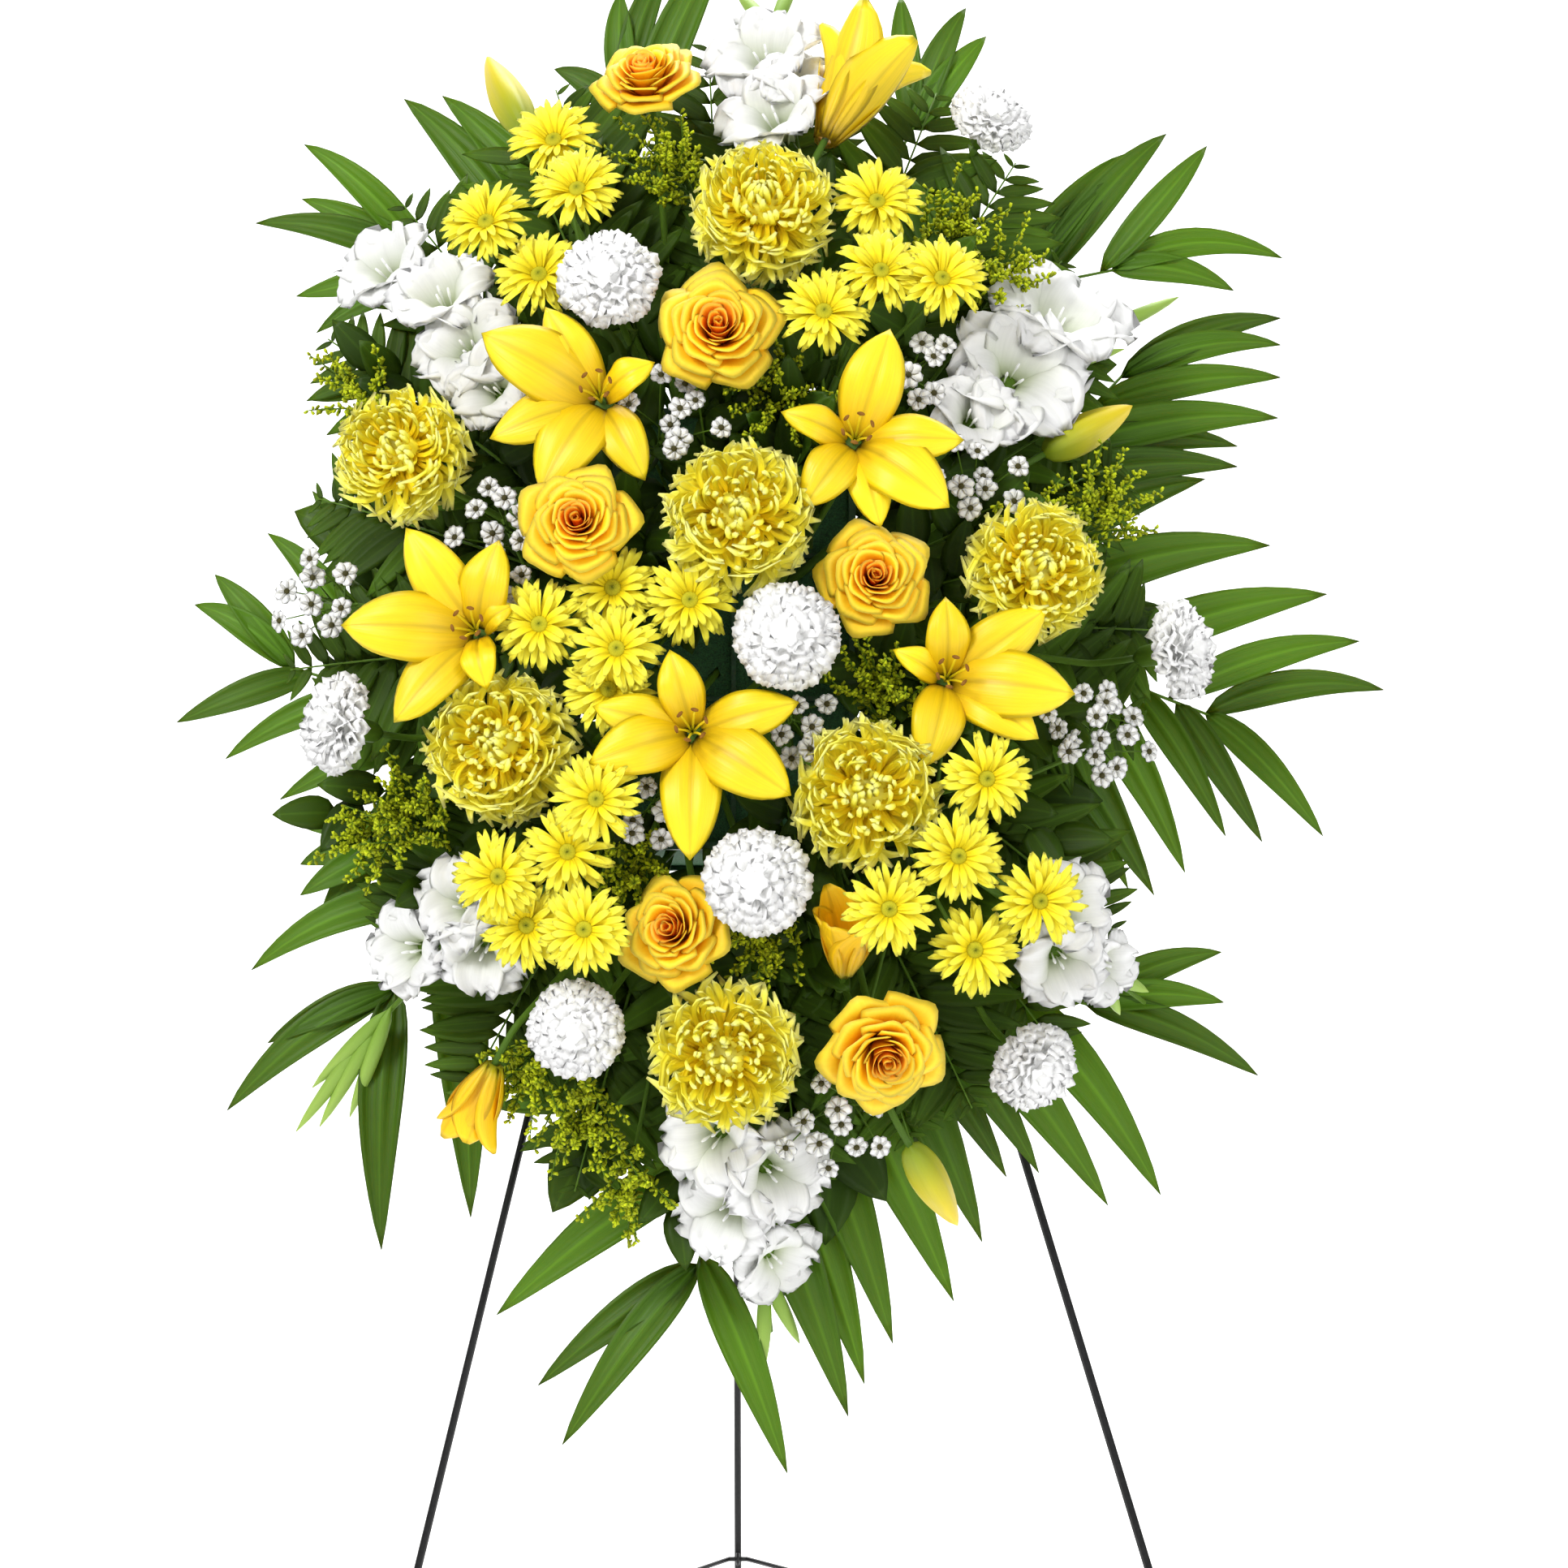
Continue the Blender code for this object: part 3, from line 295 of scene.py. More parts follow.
def triangles_of(prefix):
    """How many triangles the pieces with a prefix have."""
    return sum(len(o.data.polygons) for o in bpy.data.objects if o.name.startswith(prefix))


# %% [markdown]
# ## Petal and leaf finishes
# A petal is palest where it is thin, deeper at its root, finely veined along its length, and it
# lets some light through. One recipe makes them all: a ramp of colours along u, streaks that run
# with the petal, a soft mottle in object space, and a little light scattered under the surface.
# Pictures of petals would be quicker, but a recipe stays sharp at any distance.
# In the chrysanthemums the deep golden root and middle are partly painted golden shade between the petals.

# %% Shader nodes in one line each


def add_node(tree, kind, inputs=None, **settings):
    """New shader node. Its inputs are given as values, or as sockets to link them to."""
    node = tree.nodes.new("ShaderNode" + kind)
    for key, value in settings.items():
        setattr(node, key, value)
    for key, value in (inputs or {}).items():
        if isinstance(value, bpy.types.NodeSocket):
            tree.links.new(value, node.inputs[key])
        else:
            node.inputs[key].default_value = value
    return node


def maths(tree, operation, *terms):
    """Output of a Math node on numbers and sockets."""
    return add_node(tree, "Math", dict(enumerate(terms)), operation=operation).outputs[0]


def new_finish(name):
    """Material with its node tree and its shader."""
    material = bpy.data.materials.new(name)
    material.use_nodes = True
    return material, material.node_tree, material.node_tree.nodes["Principled BSDF"]


def object_noise(tree, scale, detail):
    """Noise in object space, from 0 to 1."""
    where = add_node(tree, "TexCoord").outputs["Object"]
    return add_node(tree, "TexNoise", {"Vector": where, "Scale": scale, "Detail": detail}).outputs["Fac"]


def colour_ramp(tree, place, colours, blend="LINEAR"):
    """Colours [(position, rgb)] along a socket's value. The first two are the ramp's ends."""
    ramp = add_node(tree, "ValToRGB", {"Fac": place})
    ramp.color_ramp.interpolation = blend
    for k, (position, colour) in enumerate(colours):
        stop = ramp.color_ramp.elements[k] if k < 2 else ramp.color_ramp.elements.new(position)
        stop.position = position
        stop.color = (*colour, 1.0)
    return ramp.outputs["Color"]


def rough_and_bumpy(tree, shader, rough_noise, rough, relief, strength, depth):
    """Roughness that runs over a range with one noise, and relief from another."""
    spread = add_node(tree, "MapRange", {"Value": rough_noise, "To Min": rough[0], "To Max": rough[1]})
    tree.links.new(spread.outputs[0], shader.inputs["Roughness"])
    bumps = add_node(tree, "Bump", {"Height": relief, "Strength": strength, "Distance": depth})
    tree.links.new(bumps.outputs[0], shader.inputs["Normal"])


# %% The petal recipe
FAR_APART = 37.0
STREAK_SCALE, STREAK_DETAIL = 1.6, 3.0
MOTTLE_SCALE, MOTTLE_DETAIL, MOTTLE_DEPTH = 90.0, 4.0, 0.08
BRIGHTNESS = 0.98
RIB_WIDTH = 0.07
ROUGH_SPREAD = (-0.08, 0.10)
STREAK_RELIEF = 0.0006
SCATTER_SCALE = 0.004


def petal_finish(name, colours, rough=0.55, streaks=22.0, streak_depth=0.18, bump=0.25, scatter=0.12,
                 tone_depth=0.22, gloss=0.4, rib=0.0, spread=(1.0, 0.7, 0.25)):
    """Material with colours [(place along u, rgb)], streaks across v, a tone for each petal, and a
    rib: a line along the middle that is darker, or paler where rib is below 0.

    shade = streak, tone and mottle, each times its depth, on top of the brightness less half the
    first two depths. The colour is ramp(u) * shade * rib shade.
    """
    material, tree, shader = new_finish(name)
    uv = add_node(tree, "UVMap", uv_map="petal").outputs["UV"]
    split = add_node(tree, "SeparateXYZ", {0: uv})
    u, v = split.outputs["X"], split.outputs["Y"]
    tone = add_node(tree, "Attribute", attribute_name="tone").outputs["Fac"]

    streak_place = add_node(tree, "CombineXYZ", {"X": u, "Y": maths(tree, "MULTIPLY", v, streaks),
                                                 "Z": maths(tree, "MULTIPLY", tone, FAR_APART)})
    streak = add_node(tree, "TexNoise", {"Vector": streak_place.outputs[0], "Scale": STREAK_SCALE,
                                         "Detail": STREAK_DETAIL}).outputs["Fac"]
    mottle = object_noise(tree, MOTTLE_SCALE, MOTTLE_DETAIL)
    rest = BRIGHTNESS - 0.5 * (streak_depth + tone_depth)
    shade = maths(tree, "MULTIPLY_ADD", streak, streak_depth,
                  maths(tree, "MULTIPLY_ADD", tone, tone_depth, rest))
    shade = maths(tree, "MULTIPLY_ADD", mottle, MOTTLE_DEPTH, shade)
    off_rib = maths(tree, "ABSOLUTE", maths(tree, "SUBTRACT", v, 0.5))
    rib_shade = add_node(tree, "MapRange", {"Value": off_rib, "From Max": RIB_WIDTH, "To Min": 1.0 - rib,
                                            "To Max": 1.0}, interpolation_type="SMOOTHSTEP").outputs[0]
    mixed = add_node(tree, "VectorMath", {0: colour_ramp(tree, u, colours, "B_SPLINE"),
                                          "Scale": maths(tree, "MULTIPLY", shade, rib_shade)},
                     operation="SCALE")
    tree.links.new(mixed.outputs[0], shader.inputs["Base Color"])

    rough_and_bumpy(tree, shader, mottle, [rough + step for step in ROUGH_SPREAD], streak, bump,
                    STREAK_RELIEF)
    shader.inputs["Subsurface Weight"].default_value = scatter
    shader.inputs["Subsurface Radius"].default_value = spread
    shader.inputs["Subsurface Scale"].default_value = SCATTER_SCALE
    shader.inputs["Specular IOR Level"].default_value = gloss
    return material


# %% Petal colours, deep at the root and pale at the rim
EVEN = (1.0, 1.0, 1.0)
# Chrysanthemum petals: the deep golden root and middle are partly the flower's own colour and partly painted
# golden shade for the crevices between the petals.
MUM = petal_finish("mum_petal", [(0.0, (1.0, 0.62, 0.005)), (1.0, (1.0, 0.97, 0.32)),
                                 (0.50, (1.0, 0.86, 0.015)), (0.80, (1.0, 0.94, 0.09))],
                   tone_depth=0.10, streak_depth=0.08, gloss=0.2)
DAISY = petal_finish("daisy_petal", [(0.0, (0.80, 0.58, 0.003)), (1.0, (1.0, 0.95, 0.09)),
                                     (0.45, (1.0, 0.84, 0.008))], gloss=0.25)
DISC = petal_finish("daisy_disc", [(0.0, (0.46, 0.44, 0.01)), (1.0, (0.22, 0.25, 0.008)),
                                   (0.5, (0.50, 0.46, 0.01))], rough=0.8, bump=0.6, scatter=0.05)
CARNATION = petal_finish("carnation_petal", [(0.0, (0.84, 0.86, 0.72)), (1.0, (1.0, 1.0, 1.0)),
                                             (0.5, (0.98, 0.98, 0.96))], rough=0.7, tone_depth=0.04,
                         streak_depth=0.06, gloss=0.2, spread=EVEN)
ROSE = petal_finish("rose_petal", [(0.0, (0.92, 0.26, 0.002)), (1.0, (1.0, 0.78, 0.06)),
                                   (0.5, (1.0, 0.42, 0.003)), (0.85, (1.0, 0.58, 0.006))],
                    rough=0.5, streak_depth=0.14, gloss=0.3)
ROSE_HEART = petal_finish("rose_heart", [(0.0, (0.62, 0.03, 0.002)), (1.0, (1.0, 0.56, 0.04)),
                                         (0.5, (0.86, 0.14, 0.004)), (0.8, (0.97, 0.32, 0.01))],
                          rough=0.5, streak_depth=0.12, gloss=0.3)
LILY = petal_finish("lily_petal", [(0.0, (0.16, 0.10, 0.003)), (1.0, (0.94, 0.72, 0.012)),
                                   (0.16, (0.78, 0.50, 0.003)), (0.6, (0.90, 0.62, 0.002))],
                    rough=0.42, streaks=18.0, streak_depth=0.34, rib=0.20, bump=0.4)
LILY_YOUNG = petal_finish("young_lily_petal", [(0.0, (0.30, 0.34, 0.01)), (1.0, (0.99, 0.62, 0.006)),
                                               (0.16, (0.84, 0.50, 0.003)), (0.6, (0.95, 0.52, 0.003))],
                          rough=0.42, streaks=18.0, streak_depth=0.34, rib=0.20, bump=0.4)
ANTHER = petal_finish("anther", [(0.0, (0.16, 0.06, 0.004)), (1.0, (0.30, 0.13, 0.01))], rough=0.85)
GLADIOLUS = petal_finish("gladiolus_petal", [(0.0, (0.40, 0.50, 0.18)), (1.0, (0.88, 0.88, 0.88)),
                                             (0.30, (0.72, 0.75, 0.64)), (0.6, (0.82, 0.82, 0.81))],
                         rough=0.5, tone_depth=0.05, streak_depth=0.12, scatter=0.3, rib=0.05, spread=EVEN)
STEM = petal_finish("green_stem", [(0.0, (0.05, 0.11, 0.008)), (1.0, (0.09, 0.18, 0.012))], rough=0.5,
                    scatter=0.03, gloss=0.2)
BUD = petal_finish("lily_bud", [(0.0, (0.14, 0.25, 0.01)), (1.0, (0.84, 0.60, 0.008)),
                                (0.4, (0.52, 0.48, 0.008))], rough=0.45)
BUD_GREEN = petal_finish("gladiolus_bud", [(0.0, (0.12, 0.26, 0.01)), (1.0, (0.36, 0.52, 0.10))], rough=0.5)
PALM = petal_finish("palm_leaflet", [(0.0, (0.045, 0.11, 0.004)), (1.0, (0.055, 0.13, 0.004)),
                                     (0.5, (0.075, 0.18, 0.006))], rough=0.42, streaks=30.0,
                    streak_depth=0.60, tone_depth=0.7, scatter=0.03, bump=0.5, gloss=0.22, rib=-0.35)
# Fern and oval leaves: their near-black green is partly the leaves' own dark colour and partly painted shade
# of the deep gaps between the flowers.
FERN = petal_finish("fern_leaf", [(0.0, (0.020, 0.042, 0.002)), (1.0, (0.060, 0.135, 0.006))],
                    rough=0.5, tone_depth=0.7, scatter=0.02, gloss=0.15, rib=-0.3)
LEAF = petal_finish("oval_leaf", [(0.0, (0.018, 0.040, 0.002)), (1.0, (0.038, 0.090, 0.004))],
                    rough=0.42, tone_depth=0.7, scatter=0.02, streaks=26.0, gloss=0.18, rib=-0.4)
GOLD = petal_finish("goldenrod_floret", [(0.0, (0.15, 0.24, 0.005)), (1.0, (0.52, 0.58, 0.012))],
                    rough=0.8, tone_depth=0.8, gloss=0.2)
ASTER = petal_finish("aster_petal", [(0.0, (0.80, 0.79, 0.70)), (1.0, (0.97, 0.97, 0.97))], rough=0.7,
                     tone_depth=0.08, gloss=0.25)
EYE_DISC = petal_finish("aster_eye", [(0.0, (0.10, 0.10, 0.01)), (1.0, (0.035, 0.028, 0.006))], rough=0.8)
print(len(bpy.data.materials), "materials")

# %% [markdown]
# ## Stems in the foam
# A stem comes straight out of the back of its flower for 3 cm and then runs to its hole. The solid
# shows where that is: its points inside the foam block are the stem's cut end. The ends could be
# listed, but measured ones stay right if the solids change.

# %% Stems, from the flower to the hole in the foam
FOAM_SKIN = 0.004


def stem_end(node):
    """Middle of the points of a solid that lie inside the foam block."""
    points = np.array([v.co for v in nodes[node].data.vertices])
    away = (points - FOAM_CENTRE) @ np.stack([RIGHT, UP, OUT], 1)
    inside = (np.abs(away) < FOAM_HALF - FOAM_SKIN).all(1)
    return points[inside].mean(0)


def stem(base, facing, end, neck=0.03, knee=0.012, radius=0.0024):
    """Stem from a flower's base, bending into its straight run to the foam."""
    bottom = base - facing * neck
    joint = bottom + unit(end - bottom) * knee
    line = np.concatenate([curve(base, bottom, joint, 7)[0], curve(joint, joint, end, 3)[0, 1:]])
    return tubes(line[None], radius, 8)


print("mum_1's stem ends at", stem_end("mum_1").round(3))

# %% Set a flower in its place


def head_place(pixel, size, lift, aim=None):
    """Centre, facing and radius of a round flower, which faces out of the dome or has its own aim."""
    centre = seen(pixel, dome(pixel) + lift)
    facing = unit(OUT + RIGHT * aim[0] + UP * aim[1]) if aim else outward(pixel)
    return centre, facing, true_size(size, centre) / 2


def basis(facing, turn=0.0):
    """Columns: right, up and ahead of a flower that faces a given way, turned about that way."""
    side = unit(np.cross(UP, facing))
    up = np.cross(facing, side)
    c, s = math.cos(turn), math.sin(turn)
    return np.stack([side * c + up * s, up * c - side * s, facing], 1)


def set_in(points, centre, axes):
    """Points of a flower drawn round +Z, set at its place and facing its way."""
    return points @ axes.T + centre


# %% Petals round an axis


def rosette(spin, root, high, rise, curl, length, half, fold, sweep=0.0, power=1.0, **more):
    """Petals round the axis. A petal leaves (root, high) at the angle rise and its slope grows to
    rise + curl u^power at its tip. Its turn about the axis is spin + sweep u^2."""
    rows = half.shape[1]
    u = np.linspace(0, 1, rows)
    spin, root, high, rise, curl, length = (np.broadcast_to(x, len(half))[:, None]
                                            for x in (spin, root, high, rise, curl, length))
    slope = rise + curl * u ** power
    steps = length / (rows - 1)
    middle = (slope[:, 1:] + slope[:, :-1]) / 2
    nothing = np.zeros((len(half), 1))
    r = root + np.concatenate([nothing, np.cumsum(np.cos(middle) * steps, 1)], 1)
    z = high + np.concatenate([nothing, np.cumsum(np.sin(middle) * steps, 1)], 1)
    a = spin + np.reshape(sweep, (-1, 1)) * u ** 2
    centre = np.stack([r * np.cos(a), r * np.sin(a), z], -1)
    normal = np.stack([-np.sin(slope) * np.cos(a), -np.sin(slope) * np.sin(a), np.cos(slope)], -1)
    return blades(centre, normal, half, fold, **more)


GOLDEN = math.pi * (3 - math.sqrt(5))
print("golden angle", round(math.degrees(GOLDEN), 1), "degrees")

# %% [markdown]
# ## Large yellow chrysanthemums
# The bloom is a ball of narrow spoon-shaped petals. The inner ones curve in over the heart and the
# outer ones reach out unevenly. They are laid in the golden-angle spiral that real heads grow in,
# which covers a ball evenly without a seam, where rings of petals would show as rings.

# %% Chrysanthemums: pixel, size in pixels, lift
MUMS = (((940, 258), 180, 0.000), ((495, 558), 172, 0.000), ((910, 635), 190, 0.000),
        ((1275, 702), 175, 0.000), ((615, 920), 190, -0.010), ((1068, 978), 190, 0.000),
        ((893, 1300), 190, 0.000))


def mum_head(radius, rng, count=270, rows=7):
    """Spoon petals over a flattened ball. Petal i stands at the angle acos(1 - 1.55 share) from the
    axis, leans out from it at first, and curls back over the heart. The outermost droop freely."""
    i = np.arange(count)
    polar = np.arccos(1 - (i + 0.5) / count * 1.55)
    u = np.linspace(0, 1, rows)
    side = np.clip(polar / 1.2, 0, 1)
    outer = np.clip((polar - 1.15) / 0.7, 0, 1)
    length = radius * (0.44 + 0.22 * side + 0.06 * rng.random(count) + 0.09 * outer * rng.random(count))
    width = radius * (0.066 + 0.014 * rng.random(count))
    half = width[:, None] * (0.50 + 0.55 * u ** 1.5) * (1 - 0.75 * u ** 10) + 0.0002
    rise = math.pi / 2 - polar - 0.10 - 0.35 * side + 0.13 * rng.normal(size=count)
    curl = 1.15 + 0.75 * side - 1.35 * outer + 0.30 * rng.normal(size=count)
    front = rosette(i * GOLDEN + 0.1 * rng.normal(size=count), 0.36 * radius * np.sin(polar),
                    0.28 * radius * np.cos(polar), rise, curl, length, half, 1.25,
                    sweep=(0.15 + 0.35 * side) * rng.normal(size=count), power=1.8, columns=4)
    return front, rng.random(count)


def flower_core(centre, facing, radius, front, back, wide):
    """Closed lump in the middle of a dense flower, from back to front shares of its radius."""
    share = np.array([back, 0.55 * back, 0.3 * front, 0.8 * front, front])[:, None] * radius
    return tubes((centre + facing * share)[None], np.array([0.3, 0.9, 1.0, 0.7, 0.15]) * wide * radius, 12,
                 lobes=4, depth=0.05)


for k, place in enumerate(MUMS):
    centre, facing, radius = head_place(*place)
    front, tone = mum_head(radius, np.random.default_rng(100 + k))
    name = f"mum_{k + 1}"
    build(name + "_bloom", [(sheets(set_in(front, centre, basis(facing)), 0.0006, tone), MUM),
                            (flower_core(centre, facing, radius, 0.42, -0.30, 0.36), MUM),
                            (stem(centre - facing * 0.2 * radius, facing, stem_end(name)), STEM)],
          replaces=[name])
print("chrysanthemums:", triangles_of("mum_"), "triangles")

# %% [markdown]
# ## White carnations
# A carnation is a dense ball of fan-shaped petals with a toothed, ruffled rim. Each petal runs up
# from the green calyx and spreads at the ball's surface, so only the ruffles show. A crumpled ball
# would be cheaper, but real petals give the rim its teeth and its deep folds.

# %% Carnations: pixel, size in pixels, lift, and the aim of those that look aside
CARNATIONS = (((750, 343), 130, 0.015, None), ((970, 783), 140, 0.010, None),
              ((932, 1087), 140, 0.015, None), ((415, 893), 130, 0.000, (-1.3, 0.1)),
              ((1455, 800), 130, 0.000, (1.5, 0.1)), ((1222, 146), 106, 0.000, (0.4, 0.5)),
              ((710, 1268), 125, 0.000, None), ((1275, 1315), 120, 0.000, (0.6, -0.7)))


def carnation_head(radius, rng, count=54, rows=7, columns=13):
    """Fan petals from the calyx to a flattened ball, with ruffles a sin(k v + c) that grow as u^2,
    teeth on the rim and rounded corners."""
    i = np.arange(count)
    polar = np.arccos(1 - (i + 0.3) / count * 1.15)
    side = np.clip(polar / 0.9, 0, 1)
    u = np.linspace(0, 1, rows)
    v = np.linspace(-1, 1, columns)
    reach_out = np.hypot(np.sin(polar) * 0.97, np.cos(polar) * 0.55 + 0.40)
    length = radius * reach_out * (0.90 + 0.12 * rng.random(count))
    rise = np.arctan2(np.cos(polar) * 0.55 + 0.40, np.sin(polar) * 0.97) + 0.16
    half = radius * 0.32 * (0.22 + 0.78 * u ** 1.4) * np.ones((count, 1))
    phase = rng.random((count, 1, 1)) * 6
    depth = 0.6 + 0.8 * rng.random((count, 1, 1))
    ruffle = 0.075 * radius * (u ** 2)[:, None] * np.sin(6.5 * v + phase) * depth
    teeth = 0.014 * radius * (u ** 6)[:, None] * (-1.0) ** np.arange(columns)
    rounding = -0.15 * radius * (u ** 3)[:, None] * v ** 4
    front = rosette(i * GOLDEN, 0.05 * radius, -0.40 * radius, rise, -1.0 - 0.2 * side, length, half, 0.55,
                    lift=ruffle, reach=teeth + rounding, columns=columns, power=4.0)
    return front, rng.random(count)


for k, place in enumerate(CARNATIONS):
    centre, facing, radius = head_place(*place)
    front, tone = carnation_head(radius, np.random.default_rng(200 + k))
    name = f"carnation_{k + 1}"
    calyx = tubes((centre - facing * np.array([[1.0], [0.85], [0.6], [0.4]]) * radius)[None],
                  np.array([0.08, 0.20, 0.22, 0.26]) * radius, 10)
    build(name + "_bloom", [(sheets(set_in(front, centre, basis(facing)), 0.0004, tone), CARNATION),
                            (flower_core(centre, facing, radius, 0.22, -0.5, 0.5), CARNATION),
                            (calyx, STEM),
                            (stem(centre - facing * 0.95 * radius, facing, stem_end(name)), STEM)],
          replaces=[name])
print("carnations:", triangles_of("carnation_"), "triangles")

# %% [markdown]
# ## Roses
# A rose is wrapped: each petal is part of a bowl round the axis, the inner ones tall and tight, the
# outer ones low and wide with a rim that rolls over. The heart is a deep red-orange and the outer
# petals are a warm yellow. A petal is drawn straight in cylinder coordinates here, because a strip
# along a line couldn't wrap round its neighbours.

# %% Roses: pixel, size in pixels, lift, aim
ROSES = (((795, 95), 125, 0.000, (-0.2, 0.7)), ((885, 405), 150, 0.000, None),
         ((712, 643), 140, 0.010, None), ((1078, 712), 135, -0.010, None),
         ((830, 1145), 135, -0.010, (-0.4, 0.0)), ((1090, 1298), 150, 0.000, (0.2, -0.7)))
# Layers from the heart out: petals, and shares for the rim's radius and height, span, roll, point
ROSE_LAYERS = ((3, 0.09, 0.46, 1.9, 0.00, 0.0), (3, 0.17, 0.48, 1.6, 0.01, 0.0),
               (4, 0.27, 0.48, 1.25, 0.02, 0.0), (4, 0.38, 0.46, 1.15, 0.04, 0.02),
               (5, 0.50, 0.42, 0.95, 0.06, 0.04), (5, 0.62, 0.35, 0.92, 0.09, 0.06),
               (5, 0.76, 0.22, 0.90, 0.12, 0.10), (5, 0.88, 0.06, 0.86, 0.15, 0.14))
HEART_LAYERS = 3


def rose_petals(radius, layer, rng, rows=9, columns=13):
    """One layer of a rose. In shares of the radius: r = 0.06 + (top - 0.06) u^0.7 + roll u^6, drawn
    out by point at v = 0 and in beside it, z = -0.45 + (height + 0.45) u - 0.7 roll u^8 less what
    the sides roll over, and the turn is spin + span v w(u)."""
    count, top, height, span, roll, point = layer
    u = np.linspace(0, 1, rows)[None, :, None]
    v = np.linspace(-1, 1, columns)[None, None, :]
    spin = (np.arange(count) / count * 2 * math.pi + rng.random() * 6)[:, None, None]
    shake = rng.normal(size=(count, 1, 1))
    wide = np.sin(math.pi * (0.10 + 0.62 * u ** 0.8)) ** 0.8
    a = spin + 0.1 * shake + span * v * wide
    lean = 0.12 * v * top
    wave = 0.012 * np.sin(5 * v + 4 * shake) * u ** 3
    tip = point * u ** 4 * (np.exp(-(v / 0.30) ** 2) - 0.9 * v ** 2)
    r = 0.06 + (top - 0.06) * u ** 0.7 + roll * u ** 6 + lean * u + wave + tip + 0.02 * shake * u
    z = -0.45 + (height + 0.45 + 0.02 * shake) * u - (0.08 + point) * v ** 2 * u ** 3 - 0.7 * roll * u ** 8
    return np.stack([r * np.cos(a), r * np.sin(a), z + 0 * a], -1) * radius


for k, place in enumerate(ROSES):
    rng = np.random.default_rng(300 + k)
    centre, facing, radius = head_place(*place)
    patches = []
    for n, layer in enumerate(ROSE_LAYERS):
        front = set_in(rose_petals(radius, layer, rng), centre, basis(facing, 0.4 * n))
        patches.append((sheets(front, 0.0005, rng.random(layer[0])),
                        ROSE_HEART if n < HEART_LAYERS else ROSE))
    patches.append((flower_core(centre, facing, radius, 0.20, -0.46, 0.10), ROSE_HEART))
    name = f"rose_{k + 1}"
    patches.append((stem(centre - facing * 0.5 * radius, facing, stem_end(name)), STEM))
    build(name + "_bloom", patches, replaces=[name])
print("roses:", triangles_of("rose_"), "triangles")

# %% [markdown]
# ## Open lilies
# Six long petals, three broad and three narrow, spread into a star. Each has a crease along its
# middle and arches, so that its tip falls back. Six stamens with rust-brown anthers stand in the
# throat. No two lilies open alike, so each petal is aimed at the place of its own tip.

# %% Lilies: pixel, lift, pixels of the six tips
LILIES = (
    ((735, 478), 0.010, ((593, 410), (672, 378), (807, 446), (795, 592), (665, 605), (603, 540))),
    ((1056, 531), 0.020, ((1097, 405), (962, 507), (990, 625), (1085, 650), (1170, 625), (1188, 542))),
    ((578, 770), 0.020, ((420, 770), (500, 650), (615, 665), (635, 745), (600, 850), (485, 890))),
    ((1172, 830), 0.010, ((1165, 735), (1100, 800), (1140, 945), (1280, 910), (1325, 855), (1290, 750))),
    ((852, 895), 0.010, ((825, 800), (730, 870), (725, 940), (850, 1060), (975, 980), (985, 865))),
)


def lily_petals(centre, throat, tips, facing, rows=17, columns=11):
    """Petals that arch from the throat to each tip. Half width = length * share *
    sin(pi (0.03 + 0.90 u^0.92))^0.62 * (1 - u^16), creased by -c exp(-(v / 0.14)^2) sin(pi u), with
    edges that wave by w sin(11 u + 1) |v|^3."""
    layer = np.array([0.005 if i % 2 else 0.0 for i in range(len(tips))])[:, None]
    away = unit(tips - centre)
    root = throat + away * 0.003 + facing * (0.004 - layer)
    half_way = centre + 0.30 * (tips - centre) + facing * (0.014 - layer)
    line = curve(root, half_way, tips, rows)
    u = np.linspace(0, 1, rows)
    v = np.linspace(-1, 1, columns)
    length = np.linalg.norm(tips - centre, axis=1)
    share = np.where(np.arange(len(tips)) % 2, 0.24, 0.29)
    swell = np.sin(math.pi * (0.03 + 0.90 * u ** 0.92)) ** 0.62 * (1 - u ** 16)
    half = (length * share)[:, None] * swell + 0.0003
    crease = -0.0030 * np.exp(-(v / 0.14) ** 2) * np.sin(math.pi * u)[:, None]
    wave = 0.0016 * np.sin(11 * u + 1.0)[:, None] * np.abs(v) ** 3
    return blades(line, facing, half, -0.45, lift=(crease + wave)[None], columns=columns)


def stamens(throat, facing, axes, reach=0.036, spread=0.010, anther=0.0024, count=6):
    """Filaments that lean out from the throat, with a swollen anther across each end."""
    t = np.arange(count) / count * 2 * math.pi
    ends = throat + facing * reach + (np.stack([np.cos(t), np.sin(t), 0 * t], 1) * spread) @ axes.T
    middle = throat + facing * reach * 0.6 + (ends - throat - facing * reach) * 0.15
    lines = curve(np.broadcast_to(throat, ends.shape), middle, ends, 7)
    across = unit(np.cross(ends - throat, facing)) * anther
    heads = curve(ends - across, ends + facing * 0.001, ends + across, 5)
    return lines, heads


